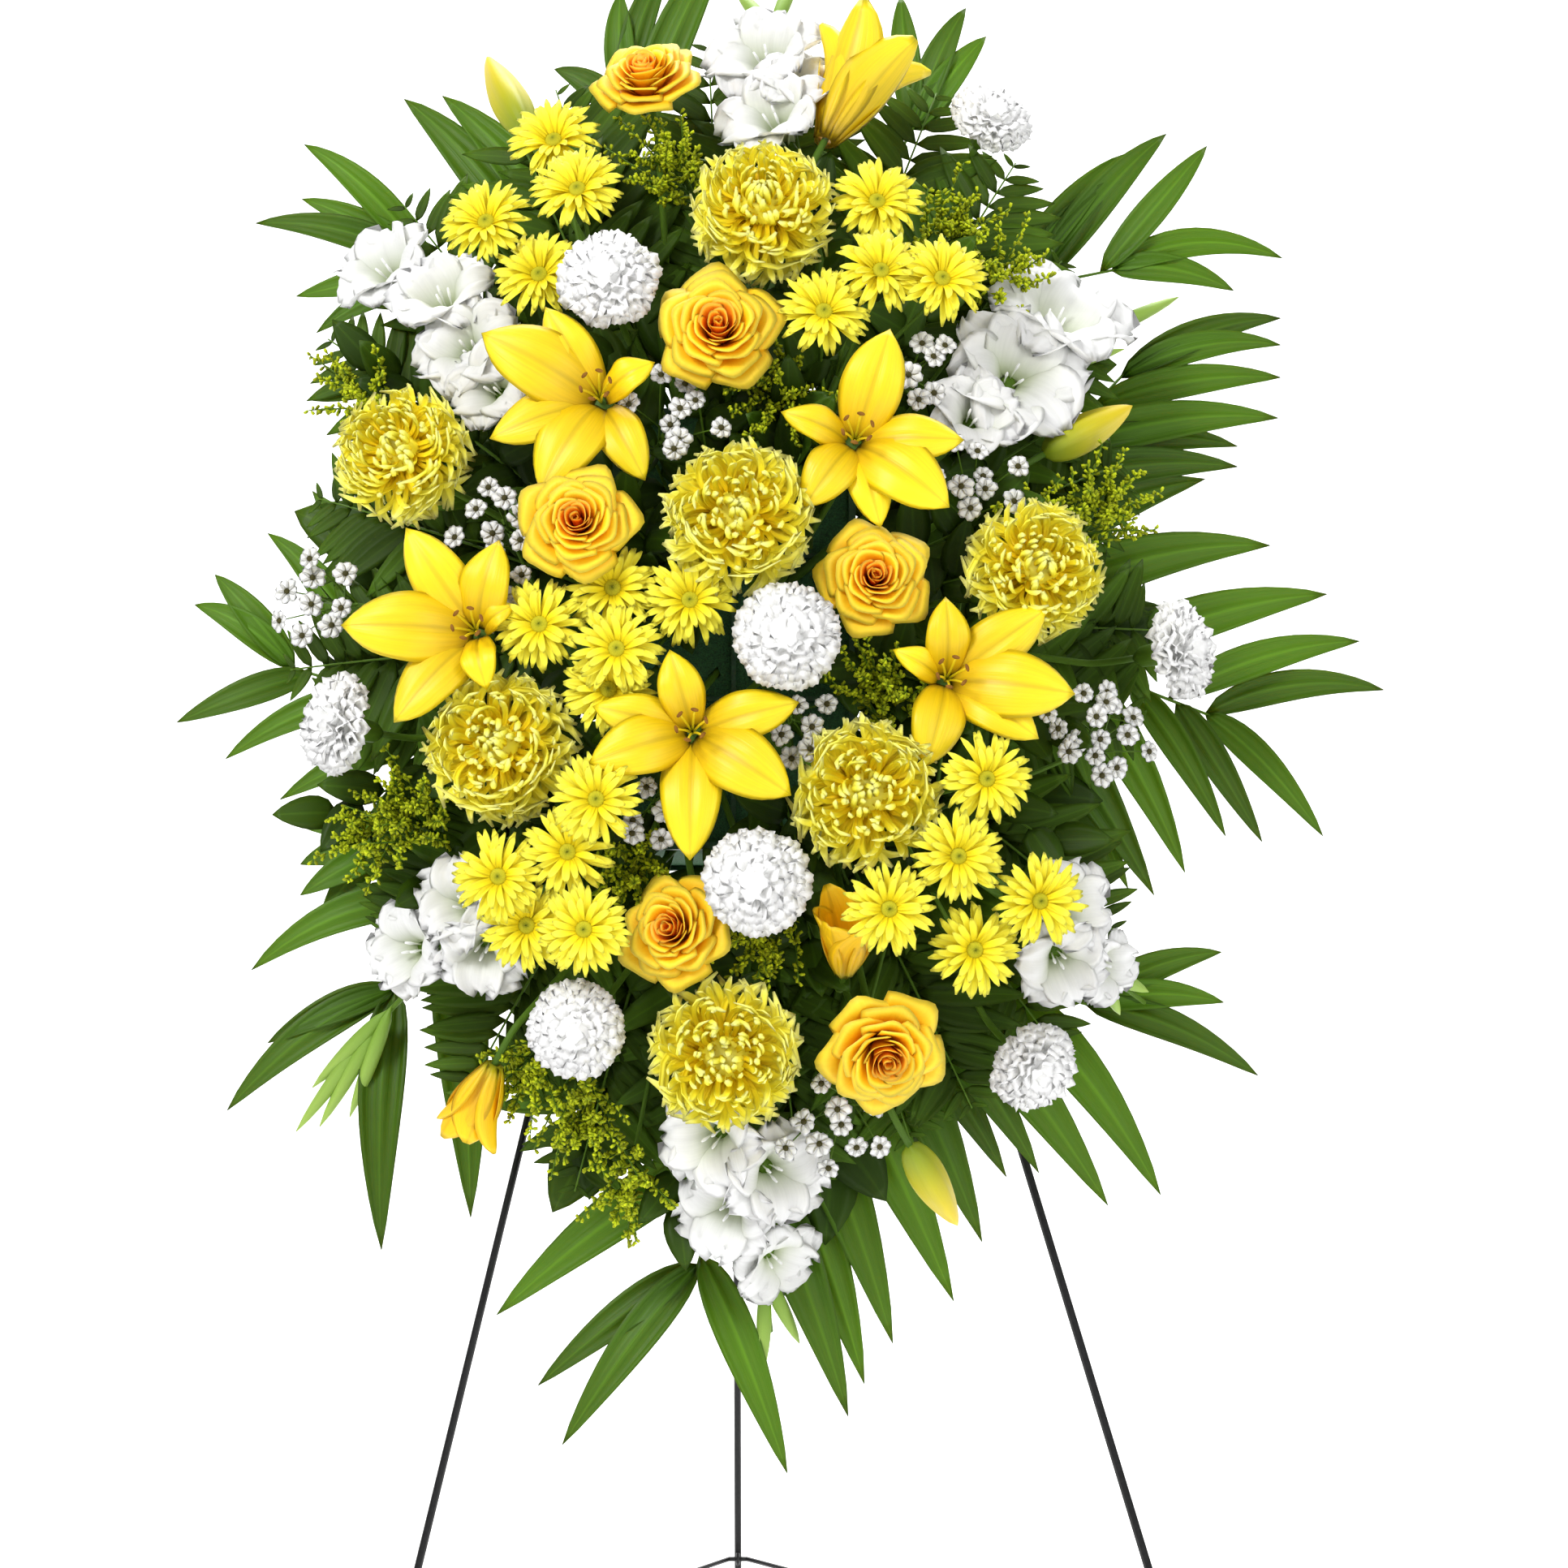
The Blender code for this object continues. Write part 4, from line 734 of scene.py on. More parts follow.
THROAT_DEPTH = 0.030
TIP_DROP, INNER_DROP = 0.004, 0.005
CUP_RADII = np.array([0.008, 0.009, 0.0085, 0.007, 0.005, 0.0035, 0.0024])
ANTHER_RADII = np.array([0.0007, 0.0012, 0.0014, 0.0012, 0.0007])
for k, (pixel, lift, tip_pixels) in enumerate(LILIES):
    proud = dome(pixel) + lift
    facing = outward(pixel)
    centre = seen(pixel, proud)
    throat = centre - facing * THROAT_DEPTH
    tips = seen(tip_pixels, proud - TIP_DROP - INNER_DROP * (np.arange(6) % 2))
    name = f"lily_{k + 1}"
    lines, heads = stamens(throat, facing, basis(facing, 0.3))
    cup = tubes(curve(throat + facing * 0.004, throat, throat - facing * 0.03, 7), CUP_RADII, 12)
    rng = np.random.default_rng(400 + k)
    build(name + "_bloom", [(sheets(lily_petals(centre, throat, tips, facing), 0.0008, rng.random(6)), LILY),
                            (tubes(lines, 0.0008, 6), BUD),
                            (tubes(heads, ANTHER_RADII, 6), ANTHER),
                            (cup, STEM),
                            (stem(throat - facing * 0.029, facing, stem_end(name)), STEM)],
          replaces=[name])
print("lilies:", triangles_of("lily_"), "triangles")

# %% [markdown]
# ## Lily buds
# Three lilies are half open, their petals still overlapping in a long funnel. Three more are closed:
# a bud is three petals pressed edge to edge, so its section has three soft lobes. The funnel is the
# rosette of the round flowers with steep petals, and a bud is a tube with lobes.

# %% Half-open lilies: pixels of the mouth and the base, size in pixels, curl
HALF_OPEN = (((1080, 60), (1015, 175), 110, -0.55), ((1045, 1120), (1040, 1200), 90, -0.35),
             ((570, 1395), (610, 1310), 90, -0.15))
BASE_SINK, TIP_LIFT = 0.02, 0.01
STEEP = 1.33
for k, (mouth_pixel, base_pixel, size, curl) in enumerate(HALF_OPEN):
    base = seen(base_pixel, dome(base_pixel) - BASE_SINK)
    mouth = seen(mouth_pixel, dome(mouth_pixel) + TIP_LIFT)
    along = unit(mouth - base)
    radius = true_size(size, base) / 2
    length = np.linalg.norm(mouth - base) * np.array([1.12, 1.03] * 3)
    rng = np.random.default_rng(450 + k)
    u = np.linspace(0, 1, 13)
    half = radius * 0.80 * np.sin(math.pi * (0.08 + 0.90 * u ** 1.2)) ** 0.7 * np.ones((6, 1)) + 0.0003
    v = np.linspace(-1, 1, 9)
    crease = -0.0016 * np.exp(-(v / 0.16) ** 2) * np.sin(math.pi * u)[:, None]
    front = rosette(np.arange(6) * math.pi / 3, np.array([0.16, 0.20] * 3) * radius, 0.0,
                    STEEP + 0.05 * rng.normal(size=6), curl + 0.12 * rng.normal(size=6), length, half,
                    0.9, power=2.2, lift=crease[None], columns=9)
    name = f"lily_bud_{k + 1}"
    petals = sheets(set_in(front, base, basis(along)), 0.0007, rng.random(6))
    build(name + "_bloom", [(petals, LILY_YOUNG if k else LILY),
                            (stem(base + along * 0.008, along, stem_end(name)), STEM)],
          replaces=[name])
print("half-open lilies:", triangles_of("lily_bud_"), "triangles")

# %% Closed buds: pixels of the tip and the base, size in pixels, lift
BUDS = (((600, 70), (650, 165), 42, -0.020), ((1395, 500), (1285, 560), 42, -0.030),
        ((1180, 1510), (1120, 1410), 40, 0.000))
clear_spots = []
for k, (tip_pixel, base_pixel, size, lift) in enumerate(BUDS):
    base = seen(base_pixel, dome(base_pixel) - BASE_SINK + lift)
    tip = seen(tip_pixel, dome(tip_pixel) + TIP_LIFT + lift)
    along = unit(tip - base)
    clear_spots += [base + (tip - base) * share for share in (0.25, 0.5, 0.75)]
    radius = true_size(size, base) / 2
    u = np.linspace(0, 1, 15)
    bulge = radius * np.sin(math.pi * u ** 0.8) ** 0.7 + 0.0012 * (1 - u)
    name = f"lily_bud_{k + 4}"
    body = tubes(curve(base, (base + tip) / 2 + OUT * 0.004, tip, 15), bulge + 0.0004, 24, 0.5, 3, 0.16)
    build(name + "_bloom", [(body, BUD), (stem(base + along * 0.004, along, stem_end(name)), STEM)],
          replaces=[name])
print("lilies and buds:", triangles_of("lily_"), "triangles")

# %% [markdown]
# ## White gladioli
# Florets stand in two rows along a green spike and open from the bottom up. A floret is a trumpet
# of six broad ruffled petals, greenish in the throat. The last buds at the tip are still shut. The
# petals' profile is a formula, since the trumpet flares more sharply than a rosette's slope can.

# %% Gladiolus spikes: lift, spine pixels, florets (pixel, size), closed buds
GLADIOLI = (
    (-0.020, ((1010, 320), (985, 200), (950, 20)),
     (((935, 55), 110), ((945, 130), 105), ((985, 92), 80)), ((905, -15), (985, -40))),
    (-0.030, ((660, 520), (575, 420), (440, 300)),
     (((465, 320), 100), ((540, 350), 105), ((570, 420), 105), ((600, 470), 90)), ()),
    (-0.030, ((1160, 560), (1240, 470), (1420, 375)),
     (((1310, 375), 140), ((1255, 455), 140), ((1205, 505), 90)), ((1452, 366), (1385, 430))),
    (-0.030, ((680, 1090), (560, 1150), (430, 1300)),
     (((590, 1180), 85), ((560, 1110), 90), ((495, 1170), 90)),
     ((431, 1376), (394, 1388), (365, 1394), (385, 1340))),
    (0.010, ((1200, 1080), (1310, 1160), (1410, 1235)),
     (((1330, 1110), 90), ((1310, 1190), 90), ((1370, 1195), 70)), ((1415, 1222), (1380, 1250))),
    (-0.020, ((910, 1360), (930, 1480), (950, 1640)),
     (((870, 1410), 100), ((960, 1450), 100), ((890, 1500), 95), ((960, 1560), 90)),
     ((940, 1690), (985, 1655))),
)
FLORET_STAND = 0.034
FLORET_SWELL = 1.12
FLORET_DEPTH = 0.85
FLORET_BEND = 0.8
BUD_SINK = 0.02
BUD_BACK = 0.45
BUD_RADIUS = 0.0050
NECK_RADII = np.array([0.003, 0.0035, 0.004, 0.0045, 0.005, 0.0055, 0.0060, 0.005])
STAMEN_RADII = np.array([0.0006, 0.0006, 0.0006, 0.0012, 0.0008])


def spun(spin, r, z, half, fold, sweep=0.0, **more):
    """Petals round the axis from their profiles r(u), z(u), turned by spin + sweep u^2."""
    u = np.linspace(0, 1, r.shape[1])
    a = np.reshape(spin, (-1, 1)) + np.reshape(sweep, (-1, 1)) * u ** 2 + 0 * r
    ahead_r, ahead_z = np.gradient(r, axis=1), np.gradient(z, axis=1)
    centre = np.stack([r * np.cos(a), r * np.sin(a), z], -1)
    normal = np.stack([-ahead_z * np.cos(a), -ahead_z * np.sin(a), ahead_r], -1)
    return blades(centre, normal, half, fold, **more)


def floret_petals(radius, depth, rng, rows=12, columns=13):
    """Six ruffled petals: r = 0.09 + 0.91 u^1.55, or u^1.30 for the outer three, and
    z = 1 - (1 - u)^2.3 - 0.25 s u^6 in shares of the floret's radius and depth, with ruffles
    a u^1.6 (0.2 + |v|) sin(7.5 v + 6 u + c) and a crease."""
    u = np.linspace(0, 1, rows)
    v = np.linspace(-1, 1, columns)
    outer = (np.arange(6) % 2)[:, None]
    reach_out = radius * (1.10 + 0.14 * rng.random((6, 1)) + 0.06 * outer)
    r = reach_out * (0.09 + 0.91 * u ** (1.55 - 0.25 * outer))
    z = depth * (1 - (1 - u) ** 2.3 - 0.25 * u ** 6 * (0.6 + 0.8 * rng.random((6, 1))) - 0.06 * outer)
    half = radius * (0.72 - 0.08 * outer) * np.sin(math.pi * (0.07 + 0.90 * u ** 1.25)) ** 0.55
    phase = rng.random((6, 1, 1)) * 6
    waves = np.sin(7.5 * v + 6 * u[:, None] + phase)
    ruffle = 0.15 * radius * (u ** 1.6)[:, None] * (0.2 + np.abs(v)) * waves
    crease = -0.03 * radius * np.exp(-(v / 0.12) ** 2) * np.sin(math.pi * u)[:, None]
    front = spun(np.arange(6) * math.pi / 3, r, z, half, 0.75 - 0.5 * u * np.ones((6, 1)),
                 lift=ruffle + crease, columns=columns)
    return front, rng.random(6)


def nearest_on(spine, point, back=0.12):
    """Nearest point of a stem's line, back towards its root by a share of its length."""
    spots = []
    for start, end in zip(spine, spine[1:]):
        line = end - start
        share = np.clip((point - start) @ line / (line @ line) - back, 0.05, 0.98)
        spots.append(start + line * share)
    return min(spots, key=lambda spot: np.linalg.norm(spot - point))


def spindle(base, tip, radius, rows=9, sides=10):
    """Closed bud: radius * sin(pi u^0.8)^0.7."""
    u = np.linspace(0, 1, rows)
    bulge = radius * np.sin(math.pi * u ** 0.8) ** 0.7 + 0.0004
    return tubes(curve(base, (base + tip) / 2, tip, rows), bulge, sides)


def floret_stamens(radius, depth, root, axes):
    """Three stamens that lean out from the throat to near the mouth."""
    t = np.array([0.0, 2.1, 4.2])
    inner = np.stack([0.08 * radius * np.cos(t), 0.08 * radius * np.sin(t), 0.2 * depth + 0 * t], 1)
    outer = np.stack([0.16 * radius * np.cos(t), 0.16 * radius * np.sin(t), 0.85 * depth + 0 * t], 1)
    lines = curve(set_in(inner, root, axes), set_in((inner + outer) / 2, root, axes),
                  set_in(outer, root, axes), 5)
    return tubes(lines, STAMEN_RADII, 5)


for k, (lift, spine_pixels, florets, buds) in enumerate(GLADIOLI):
    rng = np.random.default_rng(500 + k)
    spine = [seen(pixel, dome(pixel) + lift - FLORET_STAND) for pixel in spine_pixels]
    name = f"gladiolus_{k + 1}"
    way = np.concatenate([curve(stem_end(name), (stem_end(name) + spine[0]) / 2, spine[0], 4)[0],
                          curve(spine[0], spine[1], spine[2], 12)[0, 1:]])
    patches = [(tubes(way[None], np.linspace(0.0032, 0.0016, len(way)), 8), STEM)]
    for pixel, size in florets:
        mouth = seen(pixel, dome(pixel) + lift)
        clear_spots.append(mouth)
        base = nearest_on(spine, mouth)
        radius = true_size(size, mouth) / 2 * FLORET_SWELL
        depth = np.linalg.norm(mouth - base) * FLORET_DEPTH
        ahead = unit(unit(mouth - base) + OUT * FLORET_BEND)
        root = mouth - ahead * depth
        axes = basis(ahead, rng.random() * 6)
        front, tone = floret_petals(radius, depth, rng)
        neck = tubes(curve(base, root - ahead * 0.006, root + ahead * 0.25 * depth, 8), NECK_RADII, 10)
        patches += [(sheets(set_in(front, root, axes), 0.0005, tone), GLADIOLUS), (neck, STEM),
                    (floret_stamens(radius, depth, root, axes), GLADIOLUS)]
    for pixel in buds:
        tip = seen(pixel, dome(pixel) + lift - BUD_SINK)
        patches.append((spindle(nearest_on(spine, tip, BUD_BACK), tip, BUD_RADIUS), BUD_GREEN))
    build(name + "_spike", patches, replaces=[name])
print("gladioli:", triangles_of("gladiolus_"), "triangles")

# %% [markdown]
# ## Yellow daisy pompons
# These grow several to a stem. A head has three rings of narrow petals round a domed olive disc,
# whose tiny florets are only pimples in its surface: a formula raises them, because hundreds of
# real florets would never be seen one by one.

# %% Daisies: pixels of the heads on each spray
DAISY_SPRAYS = (
    ((683, 175), (712, 235), (600, 275), (665, 340)),
    ((1080, 250), (1085, 335), (1160, 345), (1015, 385)),
    ((850, 740), (665, 770), (760, 800), (755, 725), (750, 850)),
    ((700, 1050), (615, 1080), (720, 1145), (650, 1140), (735, 985)),
    ((1215, 960), (1180, 1055), (1280, 1110), (1200, 1170), (1095, 1120)),
)
DAISY_SIZE = 120
DAISY_STEP = 0.010
DAISY_LIFTS = (-0.010, 0.000, -0.020, 0.000, 0.030)
DAISY_NECK = 0.02
FORK_SHARE = 0.30
FORK_STEP = 0.007
CALYX_SHARES = np.array([0.20, 0.22, 0.14, 0.07, 0.045])


def daisy_head(radius, rng, rows=7, columns=5):
    """Three rings of narrow petals, the inner ones shorter and more upright: r = 0.10 + reach u and
    z = lift u + 0.10 sin(pi u) + droop u^2 in shares of the radius."""
    rings = []
    for count, reach_out, lift in ((22, 0.90, 0.04), (19, 0.82, 0.18), (14, 0.58, 0.36)):
        u = np.linspace(0, 1, rows)
        spin = np.arange(count) / count * 2 * math.pi + 0.09 * rng.normal(size=count)
        shake = rng.normal(size=(count, 1))
        r = radius * (0.10 + reach_out * (0.95 + 0.07 * rng.random((count, 1))) * u)
        z = radius * (lift * u + 0.10 * np.sin(math.pi * u) + 0.09 * shake * u ** 2)
        half = radius * 0.084 * np.sin(math.pi * (0.10 + 0.66 * u)) ** 0.8 * (1 - 0.8 * u ** 10) + 0.0003
        half = half * (0.9 + 0.2 * rng.random((count, 1)))
        rings.append(spun(spin, r, z, half, 0.9, sweep=0.10 * rng.normal(size=count), columns=columns))
    front = np.concatenate(rings)
    return front, rng.random(len(front))


def daisy_disc(radius, rings=9, sides=36):
    """Domed disc with a pimpled surface. It reaches 0.19 of the flower's radius from the axis, and
    z = 0.05 + 0.115 sqrt(1.02 - r^2) (1 + 0.10 cos(26 r) cos(12 t + 9 r)) in shares of that radius,
    with r from 0 to 1."""
    r = np.linspace(0.001, 1, rings)[:, None]
    t = np.linspace(0, 2 * math.pi, sides, endpoint=False)
    pimple = 1 + 0.10 * np.cos(26 * r) * np.cos(12 * t + 9 * r)
    z = 0.115 * np.sqrt(1.02 - r ** 2) * pimple + 0.05
    points = np.stack([0.19 * r * np.cos(t), 0.19 * r * np.sin(t), z], -1) * radius
    under = np.array([[0.0, 0.0, 0.0]]) * radius
    faces = np.concatenate([grid_faces(rings, sides, wrap=True),
                            np.stack([np.full(sides, rings * sides), np.arange(sides) + (rings - 1) * sides,
                                      (np.arange(sides) + 1) % sides + (rings - 1) * sides], -1)[:, ::-1],
                            np.stack([np.zeros(sides - 2, int), np.arange(1, sides - 1),
                                      np.arange(2, sides)], -1)])
    along = np.append(np.repeat(1 - r.ravel(), sides), 0.0)
    points = np.concatenate([points.reshape(-1, 3), under])
    return points, faces, np.stack([along, 0.5 + 0 * along, 0.5 + 0 * along], -1)


for k, pixels in enumerate(DAISY_SPRAYS):
    rng = np.random.default_rng(600 + k)
    name = f"daisy_spray_{k + 1}"
    centres = [seen(p, dome(p) + DAISY_LIFTS[k] + DAISY_STEP * (i % 3)) for i, p in enumerate(pixels)]
    middle = np.mean(centres, 0)
    fork = middle + FORK_SHARE * (FOAM_CENTRE - middle)
    end = stem_end(name)
    patches = [(tubes(curve(fork + unit(fork - end) * 0.004, (fork + end) / 2, end, 5), 0.0025, 8), STEM)]
    for i, (pixel, centre) in enumerate(zip(pixels, centres)):
        facing = outward(pixel)
        radius = true_size(DAISY_SIZE, centre) / 2
        axes = basis(facing, rng.random())
        front, tone = daisy_head(radius, rng)
        disc_points, disc_faces, disc_numbers = daisy_disc(radius)
        below = centre - facing * DAISY_NECK
        start = fork + unit(end - fork) * FORK_STEP * i
        patches += [(sheets(set_in(front, centre, axes), 0.0004, tone), DAISY),
                    ((set_in(disc_points, centre, axes), disc_faces, disc_numbers), DISC),
                    (tubes(curve(centre, centre - facing * 0.006, below, 5), CALYX_SHARES * radius, 10),
                     STEM),
                    (tubes(curve(below, below - facing * 0.02, start, 8), 0.0015, 7), STEM)]
    build(name + "_heads", patches, replaces=[name])
print("daisies:", triangles_of("daisy_"), "triangles")

# %% [markdown]
# ## Goldenrod and asters
# Fillers are clouds of very small flowers. Goldenrod is arching branchlets crowded with golden
# specks. The asters are white stars with dark eyes. Each speck has only a few faces, since there
# are thousands. Scattered instances would be lighter still, but a mesh of its own can be exported.

# %% Where the fillers are: fork pixel and how far it stands out, middles of the clusters
GOLDENRODS = (((1000, 450), 0.105, ((815, 190), (1190, 270), (960, 490))),
              ((690, 1130), 0.090, ((485, 990), (720, 1400))),
              ((1110, 930), 0.120, ((1370, 610), (1080, 840), (930, 1170))))
ASTERS = (((680, 760), 0.105, ((620, 640), (395, 740), (830, 510))),
          ((1150, 1010), 0.120, ((1200, 590), (1370, 910), (1030, 1390))))
FILLER_SINK = 0.020
HEART_SINK = 0.035
TURN = 2.4
print(sum(len(node[2]) for node in GOLDENRODS + ASTERS), "clusters")

# %% A cluster on its branchlets


def cluster_spots(middle, spread, count, rng):
    """Pixels in a golden-angle spiral round a cluster's middle, slightly shaken."""
    i = np.arange(count)
    far = spread * np.sqrt((i + 0.5) / count)
    spots = np.stack([far * np.cos(TURN * i), far * np.sin(TURN * i)], 1)
    return np.array(middle) + spots + rng.normal(size=(count, 2)) * spread * 0.13


def on_lines(lines, share):
    """Points at shares 0 to 1 along every line, as (lines, shares, 3)."""
    place = share * (lines.shape[1] - 1)
    low = np.minimum(place.astype(int), lines.shape[1] - 2)
    part = (place - low)[:, None]
    return lines[:, low] * (1 - part) + lines[:, low + 1] * part


def cloud(middle, start, spread, count, adorn, rng):
    """One cluster: a branch from start to its heart, branchlets, and what adorn puts on them."""
    heart = seen(middle, dome(middle) - FILLER_SINK - HEART_SINK)
    spots = cluster_spots(middle, spread, count, rng)
    tips = seen(spots, dome(spots) - FILLER_SINK + rng.normal(size=count) * 0.004)
    roots = heart + unit(start - heart) * (0.002 + 0.003 * np.arange(count))[:, None]
    lines = curve(roots, (roots + tips) / 2 + OUT * 0.006, tips, 9)
    return [(tubes(curve(start, (start + heart) / 2 - UP * 0.004, heart, 7), 0.0016, 6), STEM),
            (tubes(lines, np.linspace(0.0009, 0.0004, 9), 4), STEM)] + adorn(lines, rng)


def filler(name, nodes, spread, count, adorn):
    """Clusters on thin branchlets that leave one stem, and what adorn puts on the branchlets."""
    for k, (fork_pixel, fork_proud, clusters) in enumerate(nodes):
        rng = np.random.default_rng(700 + 10 * k + len(name))
        fork = seen(fork_pixel, fork_proud)
        end = stem_end(f"{name}_{k + 1}")
        patches = [(tubes(curve(fork + unit(fork - end) * 0.004, (fork + end) / 2, end, 4), 0.0025, 8), STEM)]
        for i, middle in enumerate(clusters):
            patches += cloud(middle, fork + unit(end - fork) * FORK_STEP * i, spread, count, adorn, rng)
        build(f"{name}_{k + 1}_cloud", patches, replaces=[f"{name}_{k + 1}"])
    print(name + ":", triangles_of(name), "triangles")


# %% What the branchlets carry
STAR_RADIUS = 0.0080
STAR_WIDTHS = np.array([0.4, 0.8, 1.0, 1.0, 0.55])
EYE_RADII = np.array([0.0012, 0.0021, 0.0021, 0.0012])
SPECK_RADII = np.array([0.0004, 0.0014, 0.0011])


def gold_specks(lines, rng, count=32):
    """Tiny pointed florets round the outer part of each branchlet."""
    share = np.linspace(0.22, 1.0, count)
    spots = on_lines(lines, share)
    way = unit(rng.normal(size=spots.shape) + 0.5 * unit(lines[:, -1] - lines[:, 0])[:, None])
    root = (spots + way * 0.0003).reshape(-1, 3)
    tip = (spots + way * (0.0065 - 0.002 * share[:, None])).reshape(-1, 3)
    return [(tubes(curve(root, (root + tip) / 2, tip, 3), SPECK_RADII, 3, rng.random(len(root))), GOLD)]


def aster_stars(lines, rng, petals=7, rows=5):
    """A star of narrow petals and a small eye at the end of each branchlet."""
    patches = []
    for line in lines:
        facing = unit(unit(line[-1] - line[-3]) + OUT * 1.4 + 0.25 * rng.normal(size=3))
        u = np.linspace(0, 1, rows)
        radius = STAR_RADIUS * (0.85 + 0.3 * rng.random())
        long = radius * (0.85 + 0.25 * rng.random((petals, 1)))
        half = radius * 0.38 * STAR_WIDTHS * np.ones((petals, 1))
        front = spun(np.arange(petals) * 2 * math.pi / petals, long * (0.1 + 0.9 * u),
                     long * 0.22 * u * (1.4 - u), half, 0.4, columns=3)
        axes = basis(facing, rng.random())
        patches.append((sheets(set_in(front, line[-1], axes), 0.0003, rng.random(petals)), ASTER))
        eye = curve(line[-1] - facing * 0.001, line[-1], line[-1] + facing * 0.0022, 4)
        patches.append((tubes(eye, EYE_RADII, 8), EYE_DISC))
    return patches


filler("goldenrod", GOLDENRODS, 66, 18, gold_specks)
filler("aster", ASTERS, 58, 10, aster_stars)

# %% [markdown]
# ## Palm fronds
# The fronds frame the spray. Their leaflets are long and pleated, leave the midrib at a steady
# angle, and arch a little towards the viewer before the tip falls back. Each leaflet that shows is
# aimed at its own tip, because the outline of the whole spray is made by these tips.

# %% Palm fronds: (proud, midrib end pixel, leaflet tips)
PALMS = (
    ((0.020, (520, 330), ((583, 150), (545, 118), (498, 122), (375, 178), (372, 245), (315, 275),
                          (365, 365), (390, 410))),
     (0.028, (765, 115), ((683, 85), (765, -10), (830, -50), (900, -80)))),
    ((0.020, (1130, 150), ((1110, -5), (1190, 10), (1180, 92), (1215, 45), (1160, 125))),
     (0.028, (1385, 330), ((1385, 190), (1375, 222), (1437, 165), (1487, 180), (1580, 318), (1520, 358)))),
    ((0.018, (1390, 455), ((1578, 392), (1578, 425), (1578, 465), (1575, 515), (1525, 550), (1525, 575))),
     (0.024, (1500, 885), ((1485, 590), (1565, 672), (1635, 732), (1675, 790), (1705, 850),
                           (1630, 1030), (1555, 1037), (1510, 1030), (1460, 1075), (1422, 1103),
                           (1390, 1095)))),
    ((0.020, (1350, 1240), ((1505, 1173), (1508, 1235), (1550, 1325), (1430, 1472), (1365, 1485),
                            (1280, 1445), (1240, 1450), (1210, 1530), (1190, 1470))),
     (0.028, (855, 1575), ((1175, 1603), (1100, 1655), (1065, 1705), (1045, 1745), (970, 1815), (693, 1780),
                           (663, 1707), (612, 1620)))),
    ((0.020, (480, 1230), ((280, 1368), (330, 1285), (310, 1195), (470, 1540), (580, 1500))),
     (0.028, (350, 820), ((240, 745), (218, 890), (278, 935), (345, 985), (265, 708), (330, 657),
                          (385, 605))),
     (0.024, (470, 1050), ((370, 1065), (370, 1103), (395, 1130), (375, 1020)))),
)
PALM_FORK = 0.035
PALM_FORKS = ((840, 400), (985, 400), (1130, 730), (990, 1150), (680, 930))
LEAFLET_HALF = 0.090
LEAFLET_LEAST = 0.011
LEAFLET_ANGLE = math.radians(38)
LEAFLET_DROOP = 0.055
LEAFLET_SWAY = 0.02
TIP_FORWARD, TIP_BACK = 0.004, -0.003
FROND_STEP = 0.008
print(sum(len(frond[2]) for fronds in PALMS for frond in fronds), "leaflets")

# %% Leaflets and fronds


def leaflet_root(start, end, tip):
    """Where on the midrib a leaflet at the steady angle begins."""
    line = unit(end - start)
    along = (tip - start) @ line
    aside = np.linalg.norm(tip - start - line * along)
    share = np.clip((along - aside / math.tan(LEAFLET_ANGLE)) / np.linalg.norm(end - start), 0.1, 0.96)
    return start + (end - start) * share


def leaf_blades(roots, tips, share, pleat, arch=0.06, rows=13, columns=9, fold=0.35, least=0.0, sway=0.0,
                droop=0.0):
    """Leaves with half width sin(pi u^0.72)^0.8 times the larger of length * share and least, and a
    W-shaped pleated section. By shares of the length, their lines arch out, sway to the side and
    rise in the middle, so that the tips droop."""
    length = np.linalg.norm(tips - roots, axis=1, keepdims=True)
    aside = unit(np.cross(tips - roots, OUT)) * np.reshape(sway, (-1, 1))
    lines = curve(roots, (roots + tips) / 2 + (OUT * arch + UP * droop + aside) * 2 * length, tips, rows)
    u = np.linspace(0, 1, rows)
    v = np.linspace(-1, 1, columns)
    half = np.maximum(length * share, least) * np.sin(math.pi * u ** 0.72) ** 0.8 + 0.0003
    pleats = pleat * np.cos(math.pi * 2 * v) * np.sin(math.pi * u ** 0.6)[:, None]
    return blades(lines, np.broadcast_to(OUT, lines.shape), half, fold,
                  lift=length[:, :, None] * share * pleats, columns=columns)


for k, (fork_pixel, fronds) in enumerate(zip(PALM_FORKS, PALMS)):
    rng = np.random.default_rng(800 + k)
    name = f"palm_{k + 1}"
    fork = seen(fork_pixel, PALM_FORK)
    end = stem_end(name)
    along = unit(end - fork)
    patches = [(tubes(curve(fork - along * 0.006, (fork + end) / 2, end, 4), 0.0025, 8), STEM)]
    for i, (proud, end_pixel, tip_pixels) in enumerate(fronds):
        start, last = fork + along * FROND_STEP * i, seen(end_pixel, proud)
        tips = np.array([seen(pixel, proud + (TIP_FORWARD if j % 2 else TIP_BACK))
                         for j, pixel in enumerate(tip_pixels)])
        roots = np.array([leaflet_root(start, last, tip) for tip in tips])
        front = leaf_blades(roots, tips, LEAFLET_HALF, 0.18, least=LEAFLET_LEAST,
                            sway=LEAFLET_SWAY * rng.normal(size=len(tips)), droop=LEAFLET_DROOP)
        midrib = tubes(curve(start, (start + last) / 2, last, 6), np.linspace(0.0022, 0.001, 6), 8)
        patches += [(midrib, STEM), (sheets(front, 0.0006, rng.random(len(tips))), PALM)]
    build(name + "_fronds", patches, replaces=[name])
print("palms:", triangles_of("palm_"), "triangles")

